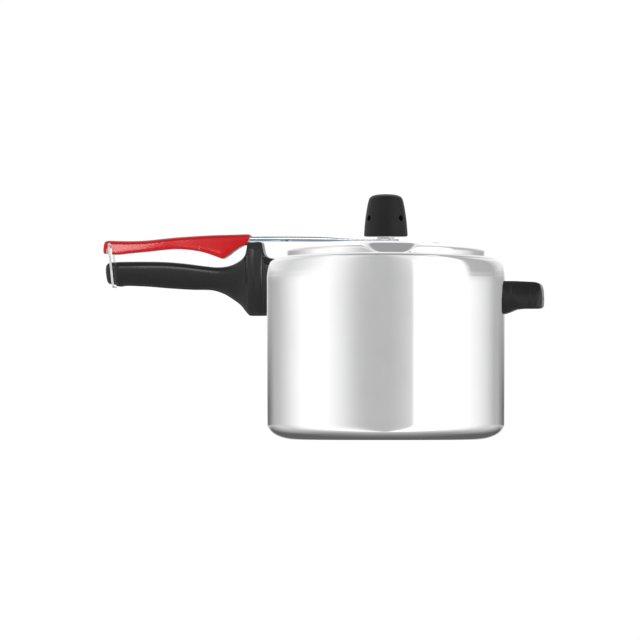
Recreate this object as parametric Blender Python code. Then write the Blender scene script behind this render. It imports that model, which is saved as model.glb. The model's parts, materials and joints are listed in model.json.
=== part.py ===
# Stovetop pressure cooker with an inner lid: an aluminium pot with an oval mouth, an oval lid
# that seals upwards against the mouth from inside, a steel lever bar that rocks on the pot
# handle and pulls the lid up, a wire bail that holds the two handles together, and a
# weighted vent valve in the middle of the lid.
#
# Frame: origin at the centre of the pot's flat base, +Z up, long handles towards -X,
# helper handle towards +X. Units are metres.

import math
import bpy
import bmesh
from mathutils import Matrix, Vector

MM = 0.001

# Pot
POT_RADIUS = 101.2 * MM          # outside of the wall under the shoulder
POT_BASE_RADIUS = 100.6 * MM     # outside of the wall just over the base corner
POT_WALL = 2.1 * MM
BASE_THICKNESS = 2.8 * MM
BASE_CORNER_X = 25.0 * MM        # the base corner is a quarter of an ellipse
BASE_CORNER_Z = 13.6 * MM
SHOULDER_Z = 138.0 * MM          # the wall starts to draw in here
MOUTH_WIDEN = 6.5 * MM           # the mouth is oval: this much further out along Y
MOUTH_RISE = 2.7 * MM            # and its lip stands this much higher there
TURN_STEPS = 56

# Lid
LID_TOP = 167.8 * MM
LID_SHEET = 2.0 * MM
PLATFORM_RADIUS = 84.0 * MM
PLATFORM_DROP = 6.3 * MM         # the platform's rim lies this much under its middle
FLANGE_RADIUS = 90.5 * MM
FLANGE_TOP = 146.5 * MM
BOSS_RADIUS = 18.0 * MM
BOSS_TOP = 168.6 * MM
NOTCH_FLOOR_Z = 156.8 * MM       # a notch is pressed into the platform at front and back
NOTCH_FLOOR = 16.0 * MM          # half width of a notch at its floor
NOTCH_ASIDE = 9.5 * MM           # the front one lies this far towards +X, the back one -X
NOTCH_SLOPE = 0.95               # how far its flanks lean out for each unit of height
NOTCH_START = 60.0 * MM          # distance of its inner end wall from the lid's centre

# Lever: the bar rocks on the crowned top of the pot handle's post
FULCRUM_X = -108.2 * MM
BAR_BOTTOM = 168.4 * MM
BAR_TOP = 172.5 * MM
BAR_WIDTH = 20.0 * MM
BAR_SHEET = 1.6 * MM
TONGUE_BOTTOM = 168.9 * MM
TONGUE_TOP = 170.2 * MM

# Vent stem and weight
STEM_RADIUS = 4.0 * MM
STEM_CLEAR = 4.4 * MM
STEM_TIP_Z = 188.0 * MM
NUT_FLATS = 12.65 * MM
NUT_BOTTOM = 170.5 * MM
NUT_TOP = 174.6 * MM
PLUG_PLACE = (40.0 * MM, 50.0 * MM)
WEIGHT_BOTTOM = 172.5 * MM
WEIGHT_TOP = 208.7 * MM
WEIGHT_HOLE_Z = 188.0 * MM
WEIGHT_HOLE_ANGLES = (38, 142, 218, 322)

# Wire bail
WIRE_RADIUS = 0.95 * MM
BAIL_PIVOT = (-234.8 * MM, 165.9 * MM)
BAIL_FOOT = (-231.2 * MM, 130.1 * MM)
BAIL_HALF_WIDTH = 16.6 * MM

# Pot-side fixings: bracket rivets and handle screws
RIVET_RADIUS = 2.4 * MM
HOLE_CLEAR = 0.4 * MM
LONG_RIVET_Z = (121.0 * MM, 134.0 * MM)
HELPER_RIVET_Y = (-11.2 * MM, 11.2 * MM)
HELPER_RIVET_Z = 121.0 * MM
HANDLE_SCREW_X = -108.8 * MM
HELPER_SCREW_Z = 116.5 * MM
GAP = 0.35 * MM

COLOURS = {
    "polished_aluminium": ((0.80, 0.80, 0.81), 0.18, 1.0),
    "bright_steel": ((0.66, 0.70, 0.75), 0.16, 1.0),
    "zinc_plated_steel": ((0.60, 0.60, 0.58), 0.35, 1.0),
    "black_phenolic": ((0.018, 0.018, 0.02), 0.38, 0.0),
    "red_phenolic": ((0.66, 0.02, 0.03), 0.28, 0.0),
    "silicone": ((0.55, 0.56, 0.56), 0.60, 0.0),
    "safety_silicone": ((0.62, 0.05, 0.04), 0.55, 0.0),
}


# ---------------------------------------------------------------- helpers

def material(name):
    found = bpy.data.materials.get(name)
    if found:
        return found
    colour, roughness, metallic = COLOURS[name]
    made = bpy.data.materials.new(name)
    made.use_nodes = True
    shader = made.node_tree.nodes["Principled BSDF"]
    shader.inputs["Base Color"].default_value = (*colour, 1.0)
    shader.inputs["Roughness"].default_value = roughness
    shader.inputs["Metallic"].default_value = metallic
    made.diffuse_color = (*colour, 1.0)
    return made


def add_object(name, bm, finish=None, parent=None):
    """Turn a bmesh into a smooth-shaded object; one without a finish is a cutter."""
    bmesh.ops.recalc_face_normals(bm, faces=bm.faces)
    mesh = bpy.data.meshes.new(name)
    bm.to_mesh(mesh)
    bm.free()
    mesh.shade_smooth()
    mesh.set_sharp_from_angle(angle=math.radians(35))
    made = bpy.data.objects.new(name, mesh)
    bpy.context.scene.collection.objects.link(made)
    if finish:
        mesh.materials.append(material(finish))
    else:
        made.hide_render = True
        made.display_type = 'WIRE'
    if parent:
        made.parent = parent
        made.matrix_parent_inverse = Matrix.Translation(parent.location).inverted()
    return made


def add_empty(name, place, parent=None):
    made = bpy.data.objects.new(name, None)
    bpy.context.scene.collection.objects.link(made)
    made.location = Vector(place) - (parent.location if parent else Vector())
    if parent:
        made.parent = parent
    return made


def boolean(target, cutter, operation='DIFFERENCE'):
    cut = target.modifiers.new(operation.lower(), 'BOOLEAN')
    cut.operation = operation
    cut.solver = 'EXACT'
    cut.object = cutter


def turned(outline, steps=24, closed=False, front_shift=None):
    """Turn an (r, z) outline about Z. front_shift gives each point how far it moves out and
    up at the +Y and -Y sides, so that a round outline becomes an oval one."""
    bm = bmesh.new()
    out = bm.verts.layers.float.new("out")
    up = bm.verts.layers.float.new("up")
    shifts = front_shift or [(0.0, 0.0)] * len(outline)
    verts = []
    for (radius, height), (shift_out, shift_up) in zip(outline, shifts):
        vert = bm.verts.new((radius, 0.0, height))
        vert[out] = shift_out
        vert[up] = shift_up
        verts.append(vert)
    pairs = list(zip(verts, verts[1:]))
    if closed:
        pairs.append((verts[-1], verts[0]))
    for first, second in pairs:
        bm.edges.new((first, second))
    bmesh.ops.spin(bm, geom=bm.verts[:] + bm.edges[:], cent=(0, 0, 0), axis=(0, 0, 1),
                   angle=math.tau, steps=steps, use_merge=True)
    for vert in bm.verts:
        radius = math.hypot(vert.co.x, vert.co.y)
        if radius > 1e-7:
            side = (vert.co.y / radius) ** 2
            vert.co.x *= (radius + vert[out] * side) / radius
            vert.co.y *= (radius + vert[out] * side) / radius
            vert.co.z += vert[up] * side
    bmesh.ops.remove_doubles(bm, verts=bm.verts, dist=1e-6)
    return bm


def prism(points, plane, low, high):
    """Extrude an outline given in plane 'XZ', 'XY' or 'YZ' between two levels."""
    place = {
        'XZ': lambda a, b, level: (a, level, b),
        'XY': lambda a, b, level: (a, b, level),
        'YZ': lambda a, b, level: (level, a, b),
    }[plane]
    bm = bmesh.new()
    face = bm.faces.new([bm.verts.new(place(a, b, low)) for a, b in points])
    grown = bmesh.ops.extrude_face_region(bm, geom=[face])
    step = Vector(place(0, 0, high)) - Vector(place(0, 0, low))
    moved = [part for part in grown["geom"] if isinstance(part, bmesh.types.BMVert)]
    bmesh.ops.translate(bm, vec=step, verts=moved)
    return bm


def box(low, high):
    bm = bmesh.new()
    size = [b - a for a, b in zip(low, high)]
    centre = [(a + b) / 2 for a, b in zip(low, high)]
    matrix = Matrix.Translation(centre) @ Matrix.Diagonal((*size, 1.0))
    bmesh.ops.create_cube(bm, size=1.0, matrix=matrix)
    return bm


def rod(start, end, radius, steps=16):
    """A plain round bar between two points."""
    start = Vector(start)
    end = Vector(end)
    axis = end - start
    turn = axis.to_track_quat('Z', 'Y').to_matrix().to_4x4()
    matrix = Matrix.Translation((start + end) / 2) @ turn
    bm = bmesh.new()
    bmesh.ops.create_cone(bm, cap_ends=True, segments=steps, radius1=radius, radius2=radius,
                          depth=axis.length, matrix=matrix)
    return bm


def aimed(bm, origin, direction):
    """Move a shape that was turned about +Z so that +Z points along direction at origin."""
    turn = Vector(direction).to_track_quat('Z', 'Y').to_matrix().to_4x4()
    bmesh.ops.transform(bm, matrix=Matrix.Translation(origin) @ turn, verts=bm.verts)
    return bm


def arc(centre, radius_a, radius_b, start, end, count):
    """Points on an elliptical arc, angles in degrees."""
    points = []
    for index in range(count + 1):
        angle = math.radians(start + (end - start) * index / count)
        points.append((centre[0] + radius_a * math.cos(angle),
                       centre[1] + radius_b * math.sin(angle)))
    return points


def millimetres(points):
    return [(a * MM, b * MM) for a, b in points]


def curved(points, step=7 * MM, corner=32.0):
    """Round off an open run of outline points: a smooth curve goes through them, in spans of
    about one step, but a point where the outline turns by more than corner degrees stays
    sharp."""
    ends = [Vector(point) for point in points]
    tangents = []
    for index, here in enumerate(ends):
        before = here - ends[index - 1] if index else None
        after = ends[index + 1] - here if index + 1 < len(ends) else None
        if before is None or after is None:
            tangents.append((before or after, after or before))
        elif before.angle(after) > math.radians(corner):
            tangents.append((before, after))
        else:
            mean = (before.normalized() + after.normalized()).normalized()
            tangents.append((mean * before.length, mean * after.length))
    result = [ends[0]]
    for index in range(len(ends) - 1):
        start = ends[index]
        end = ends[index + 1]
        leave = tangents[index][1]
        arrive = tangents[index + 1][0]
        count = max(1, round((end - start).length / step))
        for part in range(1, count + 1):
            t = part / count
            result.append(start * (2 * t ** 3 - 3 * t ** 2 + 1)
                          + leave * (t ** 3 - 2 * t ** 2 + t)
                          + end * (3 * t ** 2 - 2 * t ** 3) + arrive * (t ** 3 - t ** 2))
    return [tuple(point) for point in result]


def mirrored_outline(half):
    """An XY outline from its (x, half width) points."""
    return half + [(x, -width) for x, width in reversed(half)]


def pot_outline():
    """Closed half section of the pot from the axis under the base round to the axis over it,
    and how far each point moves at the front and back of the oval mouth."""
    outer = [(0.0, 0.0), (45 * MM, 0.0)]
    corner = (POT_BASE_RADIUS - BASE_CORNER_X, BASE_CORNER_Z)
    outer += arc(corner, BASE_CORNER_X, BASE_CORNER_Z, -90, 0, 6)
    outer += [(POT_RADIUS - 0.3 * MM, 70 * MM)]
    outer += millimetres([(101.2, 138.0), (100.5, 143.6), (99.3, 148.0), (97.6, 151.0)])
    outer += millimetres([(94.7, 152.6), (92.6, 154.4), (89.6, 155.2), (87.4, 154.6)])
    inner = millimetres([(87.0, 153.2), (87.6, 152.2), (91.6, 151.9), (94.8, 150.2)])
    inner += millimetres([(97.0, 147.2), (98.3, 143.2), (99.1, 138.0), (98.9, 70.0)])
    inside = (POT_BASE_RADIUS - POT_WALL - 22 * MM, BASE_CORNER_Z + 1 * MM)
    inner += arc(inside, 22 * MM, inside[1] - BASE_THICKNESS, 0, -90, 5)
    inner += [(45 * MM, BASE_THICKNESS), (0.0, BASE_THICKNESS)]
    shifts = []
    for index, (radius, height) in enumerate(outer + inner):
        wall = POT_RADIUS if index < len(outer) else POT_RADIUS - POT_WALL
        lifted = max(0.0, min(1.0, (height - SHOULDER_Z) / (152.6 * MM - SHOULDER_Z)))
        widened = min(MOUTH_WIDEN, wall - radius) if height > SHOULDER_Z else 0.0
        shifts.append((widened, MOUTH_RISE * lifted ** 2))
    return outer + inner, shifts


def make_pot():
    outline, shifts = pot_outline()
    pot = add_object("pot_body", turned(outline, TURN_STEPS, front_shift=shifts),
                     "polished_aluminium")
    hole = RIVET_RADIUS + HOLE_CLEAR
    places = [(-1, 0.0, z) for z in LONG_RIVET_Z]
    places += [(1, y, HELPER_RIVET_Z) for y in HELPER_RIVET_Y]
    for number, (side, y, z) in enumerate(places):
        start = (side * 90 * MM, y, z)
        end = (side * 110 * MM, y, z)
        boolean(pot, add_object(f"rivet_hole_{number}", rod(start, end, hole)))
    return pot


def rivet(name, side, y, z, outside):
    """A solid rivet through the pot wall, its outer head standing on the level outside."""
    edge = abs(y) + 3.6 * MM
    inside = math.sqrt((POT_RADIUS - POT_WALL) ** 2 - edge ** 2) - 0.5 * MM
    outline = [(0.0, inside - 2.0 * MM), (2.0 * MM, inside - 1.7 * MM),
               (3.4 * MM, inside - 0.7 * MM), (3.6 * MM, inside), (RIVET_RADIUS, inside),
               (RIVET_RADIUS, outside), (3.5 * MM, outside), (3.3 * MM, outside + 0.8 * MM),
               (2.0 * MM, outside + 1.5 * MM), (0.0, outside + 1.7 * MM)]
    bm = turned(outline, 12)
    return add_object(name, aimed(bm, (0, y, z), (side, 0, 0)), "polished_aluminium")


# ---------------------------------------------------------------- pot handle

def make_pot_handle():
    side_view = millimetres([
        (-238.3, 145.5), (-237.9, 148.2), (-236.3, 149.9), (-233.5, 150.8), (-229.9, 151.1),
        (-212.1, 151.4), (-188.3, 151.1), (-170.5, 149.7), (-154.8, 147.7), (-142.9, 146.6),
        (-134.8, 147.3), (-128.9, 149.1), (-122.9, 152.7), (-119.0, 157.4), (-117.8, 162.2),
        (-117.3, 166.2), (-116.6, 167.3), (-114.6, 167.7), (-111.0, 167.9), (-108.2, 168.1),
        (-106.0, 167.9), (-104.6, 167.2), (-104.2, 163.4), (-102.4, 157.4), (-99.0, 154.6),
        (-95.0, 154.0), (-95.0, 105.3), (-114.5, 105.3), (-117.2, 107.4), (-122.6, 113.9),
        (-128.9, 118.7), (-134.8, 122.5), (-140.8, 125.2), (-148.8, 127.1), (-164.5, 127.5),
        (-183.2, 128.6), (-206.1, 130.4), (-226.4, 131.0), (-228.9, 130.6), (-229.6, 131.9),
        (-233.4, 132.1), (-235.4, 132.6), (-236.7, 134.2), (-237.2, 138.0)])
    plan = mirrored_outline(curved(millimetres([
        (-90.0, 19.5), (-112.0, 19.5), (-118.0, 17.0), (-126.0, 13.4), (-150.0, 12.6),
        (-180.0, 13.8), (-215.0, 14.6), (-231.0, 13.9), (-236.0, 12.0), (-240.0, 8.0)])))
    front = mirrored_outline(millimetres([
        (172.0, 11.5), (158.0, 12.0), (153.0, 15.0), (143.0, 19.4), (112.0, 19.4),
        (100.0, 15.0)]))
    front_yz = [(width, z) for z, width in front]
    handle = add_object("pot_handle", prism(curved(side_view), 'XZ', -22 * MM, 22 * MM),
                        "black_phenolic")
    boolean(handle, add_object("handle_plan", prism(plan, 'XY', 90 * MM, 180 * MM)),
            'INTERSECT')
    boolean(handle, add_object("handle_front", prism(front_yz, 'YZ', -260 * MM, -80 * MM)),
            'INTERSECT')
    clear_of_pot(handle, "handle_pot_clearance")
    pocket = box((-113.5 * MM, -11 * MM, 111.6 * MM), (-90 * MM, 11 * MM, 146 * MM))
    boolean(handle, add_object("handle_pocket", pocket))
    screw_way = rod((HANDLE_SCREW_X, 0, 100 * MM), (HANDLE_SCREW_X, 0, 112 * MM), 2.9 * MM)
    boolean(handle, add_object("handle_screw_way", screw_way))
    head_way = rod((HANDLE_SCREW_X, 0, 100 * MM), (HANDLE_SCREW_X, 0, 108.6 * MM), 4.6 * MM)
    boolean(handle, add_object("handle_head_way", head_way))
    return handle


def clear_of_pot(target, name):
    """Trim whatever reaches the pot to its oval outside plus a gap."""
    outline, shifts = pot_outline()
    outside = []
    outside_shifts = []
    for (radius, height), shift in zip(outline[8:15], shifts[8:15]):
        outside.append((radius + GAP, height + (GAP if height > 150 * MM else 0.0)))
        outside_shifts.append(shift)
    low = [(0.0, 60 * MM), (outside[0][0], 60 * MM)]
    top = [(0.0, outside[-1][1])]
    bm = turned(low + outside[1:] + top, TURN_STEPS,
                front_shift=[(0, 0), (0, 0)] + outside_shifts[1:] + [(0, MOUTH_RISE)])
    boolean(target, add_object(name, bm))


def make_handle_bracket():
    """Bent strip riveted to the pot, with a foot that takes the handle's screw."""
    outline = millimetres([
        (-103.4, 112.2), (-112.6, 112.2), (-112.6, 114.6), (-104.8, 114.6), (-104.4, 114.8),
        (-104.1, 115.4), (-104.1, 144.0), (-102.1, 144.0), (-102.1, 112.9)])
    bracket = add_object("pot_handle_bracket", prism(outline, 'XZ', -9 * MM, 9 * MM),
                         "zinc_plated_steel")
    for number, z in enumerate(LONG_RIVET_Z):
        cutter = rod((-100 * MM, 0, z), (-107 * MM, 0, z), RIVET_RADIUS + HOLE_CLEAR)
        boolean(bracket, add_object(f"bracket_rivet_way_{number}", cutter))
    cutter = rod((HANDLE_SCREW_X, 0, 110 * MM), (HANDLE_SCREW_X, 0, 118 * MM), 2.9 * MM)
    boolean(bracket, add_object("bracket_screw_way", cutter))
    return bracket


def pan_screw(name, origin, direction, length, shank=2.4 * MM, head=4.2 * MM, parent=None):
    """A pan-head screw whose head's underside is at origin and whose shank runs along
    direction."""
    outline = [(0.0, -2.4 * MM), (head * 0.55, -2.2 * MM), (head * 0.9, -1.5 * MM),
               (head, -0.5 * MM), (head, 0.0), (shank, 0.0),
               (shank, length - 0.8 * MM), (shank * 0.6, length), (0.0, length)]
    bm = turned(outline, 14)
    made = add_object(name, aimed(bm, origin, direction), "zinc_plated_steel", parent)
    slot_centre = Vector(origin) - Vector(direction) * 2.4 * MM
    if direction[0]:
        size = (1.2 * MM, head * 2.4, 1.0 * MM)
    else:
        size = (head * 2.4, 1.0 * MM, 1.2 * MM)
    low = [c - s / 2 for c, s in zip(slot_centre, size)]
    high = [c + s / 2 for c, s in zip(slot_centre, size)]
    boolean(made, add_object(name + "_slot", box(low, high), parent=parent))
    return made


def plain_nut(name, centre, radius, height, hole, parent=None, sides=4, finish=None):
    bm = bmesh.new()
    turn = Matrix.Translation(centre) @ Matrix.Rotation(math.pi / sides, 4, 'Z')
    bmesh.ops.create_cone(bm, cap_ends=True, segments=sides, radius1=radius, radius2=radius,
                          depth=height, matrix=turn)
    made = add_object(name, bm, finish or "zinc_plated_steel", parent)
    low = (centre[0], centre[1], centre[2] - height)
    high = (centre[0], centre[1], centre[2] + height)
    boolean(made, add_object(name + "_bore", rod(low, high, hole, 20), parent=parent))
    return made


# ---------------------------------------------------------------- helper handle

def make_helper_handle():
    side_view = millimetres([
        (92.0, 134.7), (110.0, 134.6), (127.5, 133.7), (131.3, 132.2), (133.3, 129.0),
        (134.0, 116.0), (133.6, 112.8), (130.6, 111.2), (115.0, 110.9), (109.7, 109.9),
        (104.5, 107.6), (92.0, 105.6)])
    plan = mirrored_outline(millimetres([
        (90.0, 19.5), (101.0, 19.5), (108.0, 21.5), (124.0, 23.0), (130.0, 21.6),
        (133.2, 17.0), (134.6, 9.0)]))
    front_yz = millimetres([
        (-9.0, 136.0), (-15.0, 132.4), (-20.0, 126.0), (-23.5, 112.0), (-22.0, 100.0),
        (22.0, 100.0), (23.5, 112.0), (20.0, 126.0), (15.0, 132.4), (9.0, 136.0)])
    handle = add_object("helper_handle", prism(side_view, 'XZ', -32 * MM, 32 * MM),
                        "black_phenolic")
    boolean(handle, add_object("helper_plan", prism(plan, 'XY', 90 * MM, 150 * MM)),
            'INTERSECT')
    boolean(handle, add_object("helper_front", prism(front_yz, 'YZ', 80 * MM, 150 * MM)),
            'INTERSECT')
    clear_of_pot(handle, "helper_pot_clearance")
    grip = box((112 * MM, -17 * MM, 100 * MM), (128 * MM, 17 * MM, 122 * MM))
    boolean(handle, add_object("helper_finger_hollow", grip))
    pocket = box((90 * MM, -15.5 * MM, 110.8 * MM), (108.6 * MM, 15.5 * MM, 127.2 * MM))
    boolean(handle, add_object("helper_pocket", pocket))
    screw_way = rod((106 * MM, 0, HELPER_SCREW_Z), (118 * MM, 0, HELPER_SCREW_Z), 2.9 * MM)
    boolean(handle, add_object("helper_screw_way", screw_way))
    return handle


def make_helper_bracket():
    """Bridge-shaped strip: two riveted ears against the pot and a raised middle."""
    inner = POT_RADIUS + 0.5 * MM
    ears = [(-15.0, 0.0), (-6.0, 0.0), (-4.6, 3.0), (4.6, 3.0), (6.0, 0.0), (15.0, 0.0),
            (15.0, 1.6), (7.0, 1.6), (5.6, 4.6), (-5.6, 4.6), (-7.0, 1.6), (-15.0, 1.6)]
    outline = [(inner + out * MM, y * MM) for y, out in ears]
    bracket = add_object("helper_bracket", prism(outline, 'XY', 111.8 * MM, 126.2 * MM),
                         "zinc_plated_steel")
    for number, y in enumerate(HELPER_RIVET_Y):
        cutter = rod((95 * MM, y, HELPER_RIVET_Z), (108 * MM, y, HELPER_RIVET_Z),
                     RIVET_RADIUS + HOLE_CLEAR)
        boolean(bracket, add_object(f"helper_rivet_way_{number}", cutter))
    cutter = rod((100 * MM, 0, HELPER_SCREW_Z), (112 * MM, 0, HELPER_SCREW_Z), 2.9 * MM)
    boolean(bracket, add_object("helper_bracket_screw_way", cutter))
    return bracket


# ---------------------------------------------------------------- lid

def platform_height(share):
    """Height of the platform's top at a share of its radius."""
    return LID_TOP - PLATFORM_DROP * share ** 3


def oval_shifts(outline):
    """The lid follows the mouth's oval: nothing moves at the centre, all of it at the wall."""
    shifts = []
    for radius, _ in outline:
        share = min(1.0, radius / PLATFORM_RADIUS)
        shifts.append((MOUTH_WIDEN * share, MOUTH_RISE * share ** 3))
    return shifts


def lid_core(name, sheet):
    """The lid as a solid: at sheet 0 its outside, otherwise its hollow inside."""
    shares = [0.30, 0.50, 0.66, 0.78, 0.88, 0.95, 0.985]
    wall = PLATFORM_RADIUS - sheet
    outline = [(0.0, BOSS_TOP - sheet), (BOSS_RADIUS - sheet, BOSS_TOP - sheet)]
    outline += [(BOSS_RADIUS + 1.5 * MM - sheet, LID_TOP - sheet)]
    outline += [(wall * share, platform_height(share) - sheet) for share in shares]
    outline += [(wall, platform_height(1.0) - sheet - 1.2 * MM)]
    if sheet:
        outline += [(wall, 140 * MM), (0.0, 140 * MM)]
    else:
        outline += [(wall, FLANGE_TOP), (FLANGE_RADIUS, FLANGE_TOP),
                    (FLANGE_RADIUS, FLANGE_TOP - LID_SHEET), (0.0, FLANGE_TOP - LID_SHEET)]
    bm = turned(outline, TURN_STEPS, front_shift=oval_shifts(outline))
    return add_object(name, bm, None if sheet else "polished_aluminium")


def notch_cutter(name, side, sheet):
    """Wedge that presses a notch into the platform's edge; side is -1 or 1 along Y."""
    floor = NOTCH_FLOOR + sheet
    low = NOTCH_FLOOR_Z - sheet
    top = 175 * MM
    wide = floor + NOTCH_SLOPE * (top - low)
    lean = 0.35 * (top - low)
    bm = bmesh.new()
    rings = []
    for y, back in ((NOTCH_START - sheet, lean), (104 * MM, 0.0)):
        corners = [(-floor, y, low), (floor, y, low), (wide, y - back, top),
                   (-wide, y - back, top)]
        rings.append([bm.verts.new((x - side * NOTCH_ASIDE, side * depth, z))
                      for x, depth, z in corners])
    bm.faces.new(rings[0])
    bm.faces.new(list(reversed(rings[1])))
    for index in range(4):
        after = (index + 1) % 4
        bm.faces.new((rings[0][index], rings[1][index], rings[1][after], rings[0][after]))
    return add_object(name, bm)


def make_lid(parent):
    lid = lid_core("lid_plate", 0.0)
    hollow = lid_core("lid_hollow", LID_SHEET)
    for side, word in ((-1, "front"), (1, "back")):
        boolean(lid, notch_cutter(f"{word}_notch", side, 0.0))
        boolean(hollow, notch_cutter(f"{word}_notch_under", side, LID_SHEET))
    boolean(lid, hollow)
    stem_way = rod((0, 0, 155 * MM), (0, 0, 175 * MM), STEM_CLEAR, 20)
    boolean(lid, add_object("lid_stem_way", stem_way))
    place, out = plug_seat()
    plug_way = rod(place - out * 10 * MM, place + out * 10 * MM, 4.2 * MM, 20)
    boolean(lid, add_object("lid_plug_way", plug_way))
    ride(lid, parent)
    return lid


def ride(made, parent):
    made.parent = parent
    world = Vector()
    step = parent
    while step:
        world += step.location
        step = step.parent
    made.matrix_parent_inverse = Matrix.Translation(world).inverted()


def make_gasket(parent):
    section = millimetres([(84.8, 147.3), (90.4, 146.9), (90.9, 148.6), (90.6, 150.4),
                           (89.4, 151.4), (86.4, 151.4), (85.0, 150.0)])
    shifts = [(MOUTH_WIDEN, MOUTH_RISE)] * len(section)
    bm = turned(section, TURN_STEPS, closed=True, front_shift=shifts)
    gasket = add_object("lid_gasket", bm, "silicone")
    ride(gasket, parent)
    return gasket


def make_lid_bar(parent):
    """Steel lever: a channel that flattens into a tongue under the nut."""
    side_view = [(-162 * MM, BAR_BOTTOM), (-48 * MM, BAR_BOTTOM), (-36 * MM, TONGUE_BOTTOM),
                 (11.5 * MM, TONGUE_BOTTOM), (11.5 * MM, TONGUE_TOP), (-24 * MM, TONGUE_TOP),
                 (-46 * MM, 171.7 * MM), (-84 * MM, BAR_TOP), (-117 * MM, BAR_TOP),
                 (-121 * MM, BAR_BOTTOM + BAR_SHEET), (-162 * MM, BAR_BOTTOM + BAR_SHEET)]
    half = BAR_WIDTH / 2
    plan_half = [(-163 * MM, half * 0.8), (-124 * MM, half * 0.8), (-116 * MM, half)]
    plan_half += [(-46 * MM, half), (-22 * MM, half * 0.92)]
    plan_half += arc((0.0, 0.0), 11 * MM, half * 0.92, 90, 6, 6)
    bar = add_object("lid_bar", prism(side_view, 'XZ', -half, half), "bright_steel")
    plan = mirrored_outline(plan_half)
    boolean(bar, add_object("bar_plan", prism(plan, 'XY', 160 * MM, 180 * MM)), 'INTERSECT')
    inside = half - BAR_SHEET
    groove = prism(millimetres([(-116.9, 170.0), (-118.6, 176.0), (-20.0, 176.0),
                                (-26.0, 170.24), (-48.0, 170.0)]), 'XZ', -inside, inside)
    boolean(bar, add_object("bar_groove", groove))
    boolean(bar, add_object("bar_stem_way",
                            rod((0, 0, 160 * MM), (0, 0, 176 * MM), STEM_CLEAR, 20)))
    for number, x in enumerate((-130 * MM, -150 * MM)):
        cutter = rod((x, 0, 160 * MM), (x, 0, 176 * MM), 2.4 * MM)
        boolean(bar, add_object(f"bar_screw_way_{number}", cutter))
    ride(bar, parent)
    return bar


def make_lid_handle(parent):
    side_view = millimetres([
        (-235.2, 169.3), (-218.0, 168.9), (-202.8, 169.5), (-183.2, 171.6), (-158.6, 173.3),
        (-134.8, 174.2), (-116.4, 174.7), (-114.7, 174.0), (-114.3, 172.3), (-117.4, 169.6),
        (-117.6, 166.4), (-122.6, 164.0), (-131.0, 159.2), (-136.4, 154.9), (-138.2, 153.8),
        (-140.2, 153.9), (-142.5, 155.0), (-152.7, 158.6), (-164.5, 161.0), (-177.3, 162.0),
        (-188.3, 161.4), (-200.2, 160.1), (-212.1, 158.9), (-228.6, 157.3), (-231.6, 157.5),
        (-232.4, 158.6), (-232.4, 161.2), (-233.2, 162.8), (-234.9, 163.4), (-236.6, 162.8),
        (-237.3, 161.2), (-237.3, 158.6), (-238.6, 158.1), (-239.9, 158.9), (-239.9, 165.8),
        (-239.2, 167.9), (-237.6, 169.0)])
    plan = mirrored_outline(curved(millimetres([
        (-110.0, 12.0), (-125.0, 12.6), (-160.0, 13.0), (-205.0, 13.4), (-232.0, 12.9),
        (-238.0, 11.6), (-241.0, 9.0)])))
    handle = add_object("lid_handle", prism(curved(side_view), 'XZ', -16 * MM, 16 * MM),
                        "red_phenolic")
    boolean(handle, add_object("lid_handle_plan", prism(plan, 'XY', 140 * MM, 180 * MM)),
            'INTERSECT')
    socket_half = BAR_WIDTH * 0.4 + GAP
    socket = box((-162.4 * MM, -socket_half, BAR_BOTTOM - GAP),
                 (-118.5 * MM, socket_half, BAR_BOTTOM + BAR_SHEET + GAP))
    boolean(handle, add_object("lid_handle_socket", socket))
    mouth_half = BAR_WIDTH * 0.5 + GAP
    mouth = box((-124.0 * MM, -mouth_half, BAR_BOTTOM - 3 * MM),
                (-110 * MM, mouth_half, BAR_TOP + GAP))
    boolean(handle, add_object("lid_handle_mouth", mouth))
    for number, x in enumerate((-130 * MM, -150 * MM)):
        way = rod((x, 0, 150 * MM), (x, 0, 172.0 * MM), 2.4 * MM)
        boolean(handle, add_object(f"lid_handle_screw_way_{number}", way))
        head = rod((x, 0, 150 * MM), (x, 0, 164.8 * MM), 4.2 * MM)
        boolean(handle, add_object(f"lid_handle_head_way_{number}", head))
    pivot = (BAIL_PIVOT[0], 0.0, BAIL_PIVOT[1])
    bore = rod((pivot[0], -20 * MM, pivot[2]), (pivot[0], 20 * MM, pivot[2]),
               WIRE_RADIUS + HOLE_CLEAR)
    boolean(handle, add_object("bail_bore", bore))
    ride(handle, parent)
    return handle


def make_vent(parent):
    """Hollow stem with its head under the lid, a seal, and the nut that clamps the bar."""
    stem_outline = [(1.3 * MM, 161.6 * MM), (8.2 * MM, 161.6 * MM), (8.4 * MM, 163.9 * MM),
                    (STEM_RADIUS, 164.0 * MM), (STEM_RADIUS, 176.0 * MM),
                    (3.0 * MM, 176.8 * MM), (3.0 * MM, 185.6 * MM), (1.9 * MM, STEM_TIP_Z),
                    (1.3 * MM, STEM_TIP_Z)]
    stem = add_object("vent_stem", turned(stem_outline, 20, closed=True), "bright_steel")
    seal_outline = [(4.4 * MM, 164.3 * MM), (9.0 * MM, 164.3 * MM), (9.0 * MM, 166.2 * MM),
                    (4.4 * MM, 166.2 * MM)]
    seal = add_object("vent_stem_seal", turned(seal_outline, 20, closed=True), "silicone")
    corner = NUT_FLATS / 2 / math.cos(math.pi / 6)
    nut = plain_nut("vent_nut", (0, 0, (NUT_BOTTOM + NUT_TOP) / 2), corner,
                    NUT_TOP - NUT_BOTTOM, STEM_CLEAR, sides=6, finish="bright_steel")
    for made in (stem, seal, nut):
        ride(made, parent)


def plug_seat():
    """Where the safety plug's axis meets the lid's top, and the direction straight out."""
    x, y = PLUG_PLACE
    radius = math.hypot(x, y)
    share = radius / PLATFORM_RADIUS
    rise = MOUTH_RISE * share ** 3 * (y / radius) ** 2
    slope = 3 * PLATFORM_DROP * share ** 2 / PLATFORM_RADIUS
    out = Vector((slope * x / radius, slope * y / radius, 1.0)).normalized()
    return Vector((x, y, platform_height(share) + rise)), out


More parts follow.
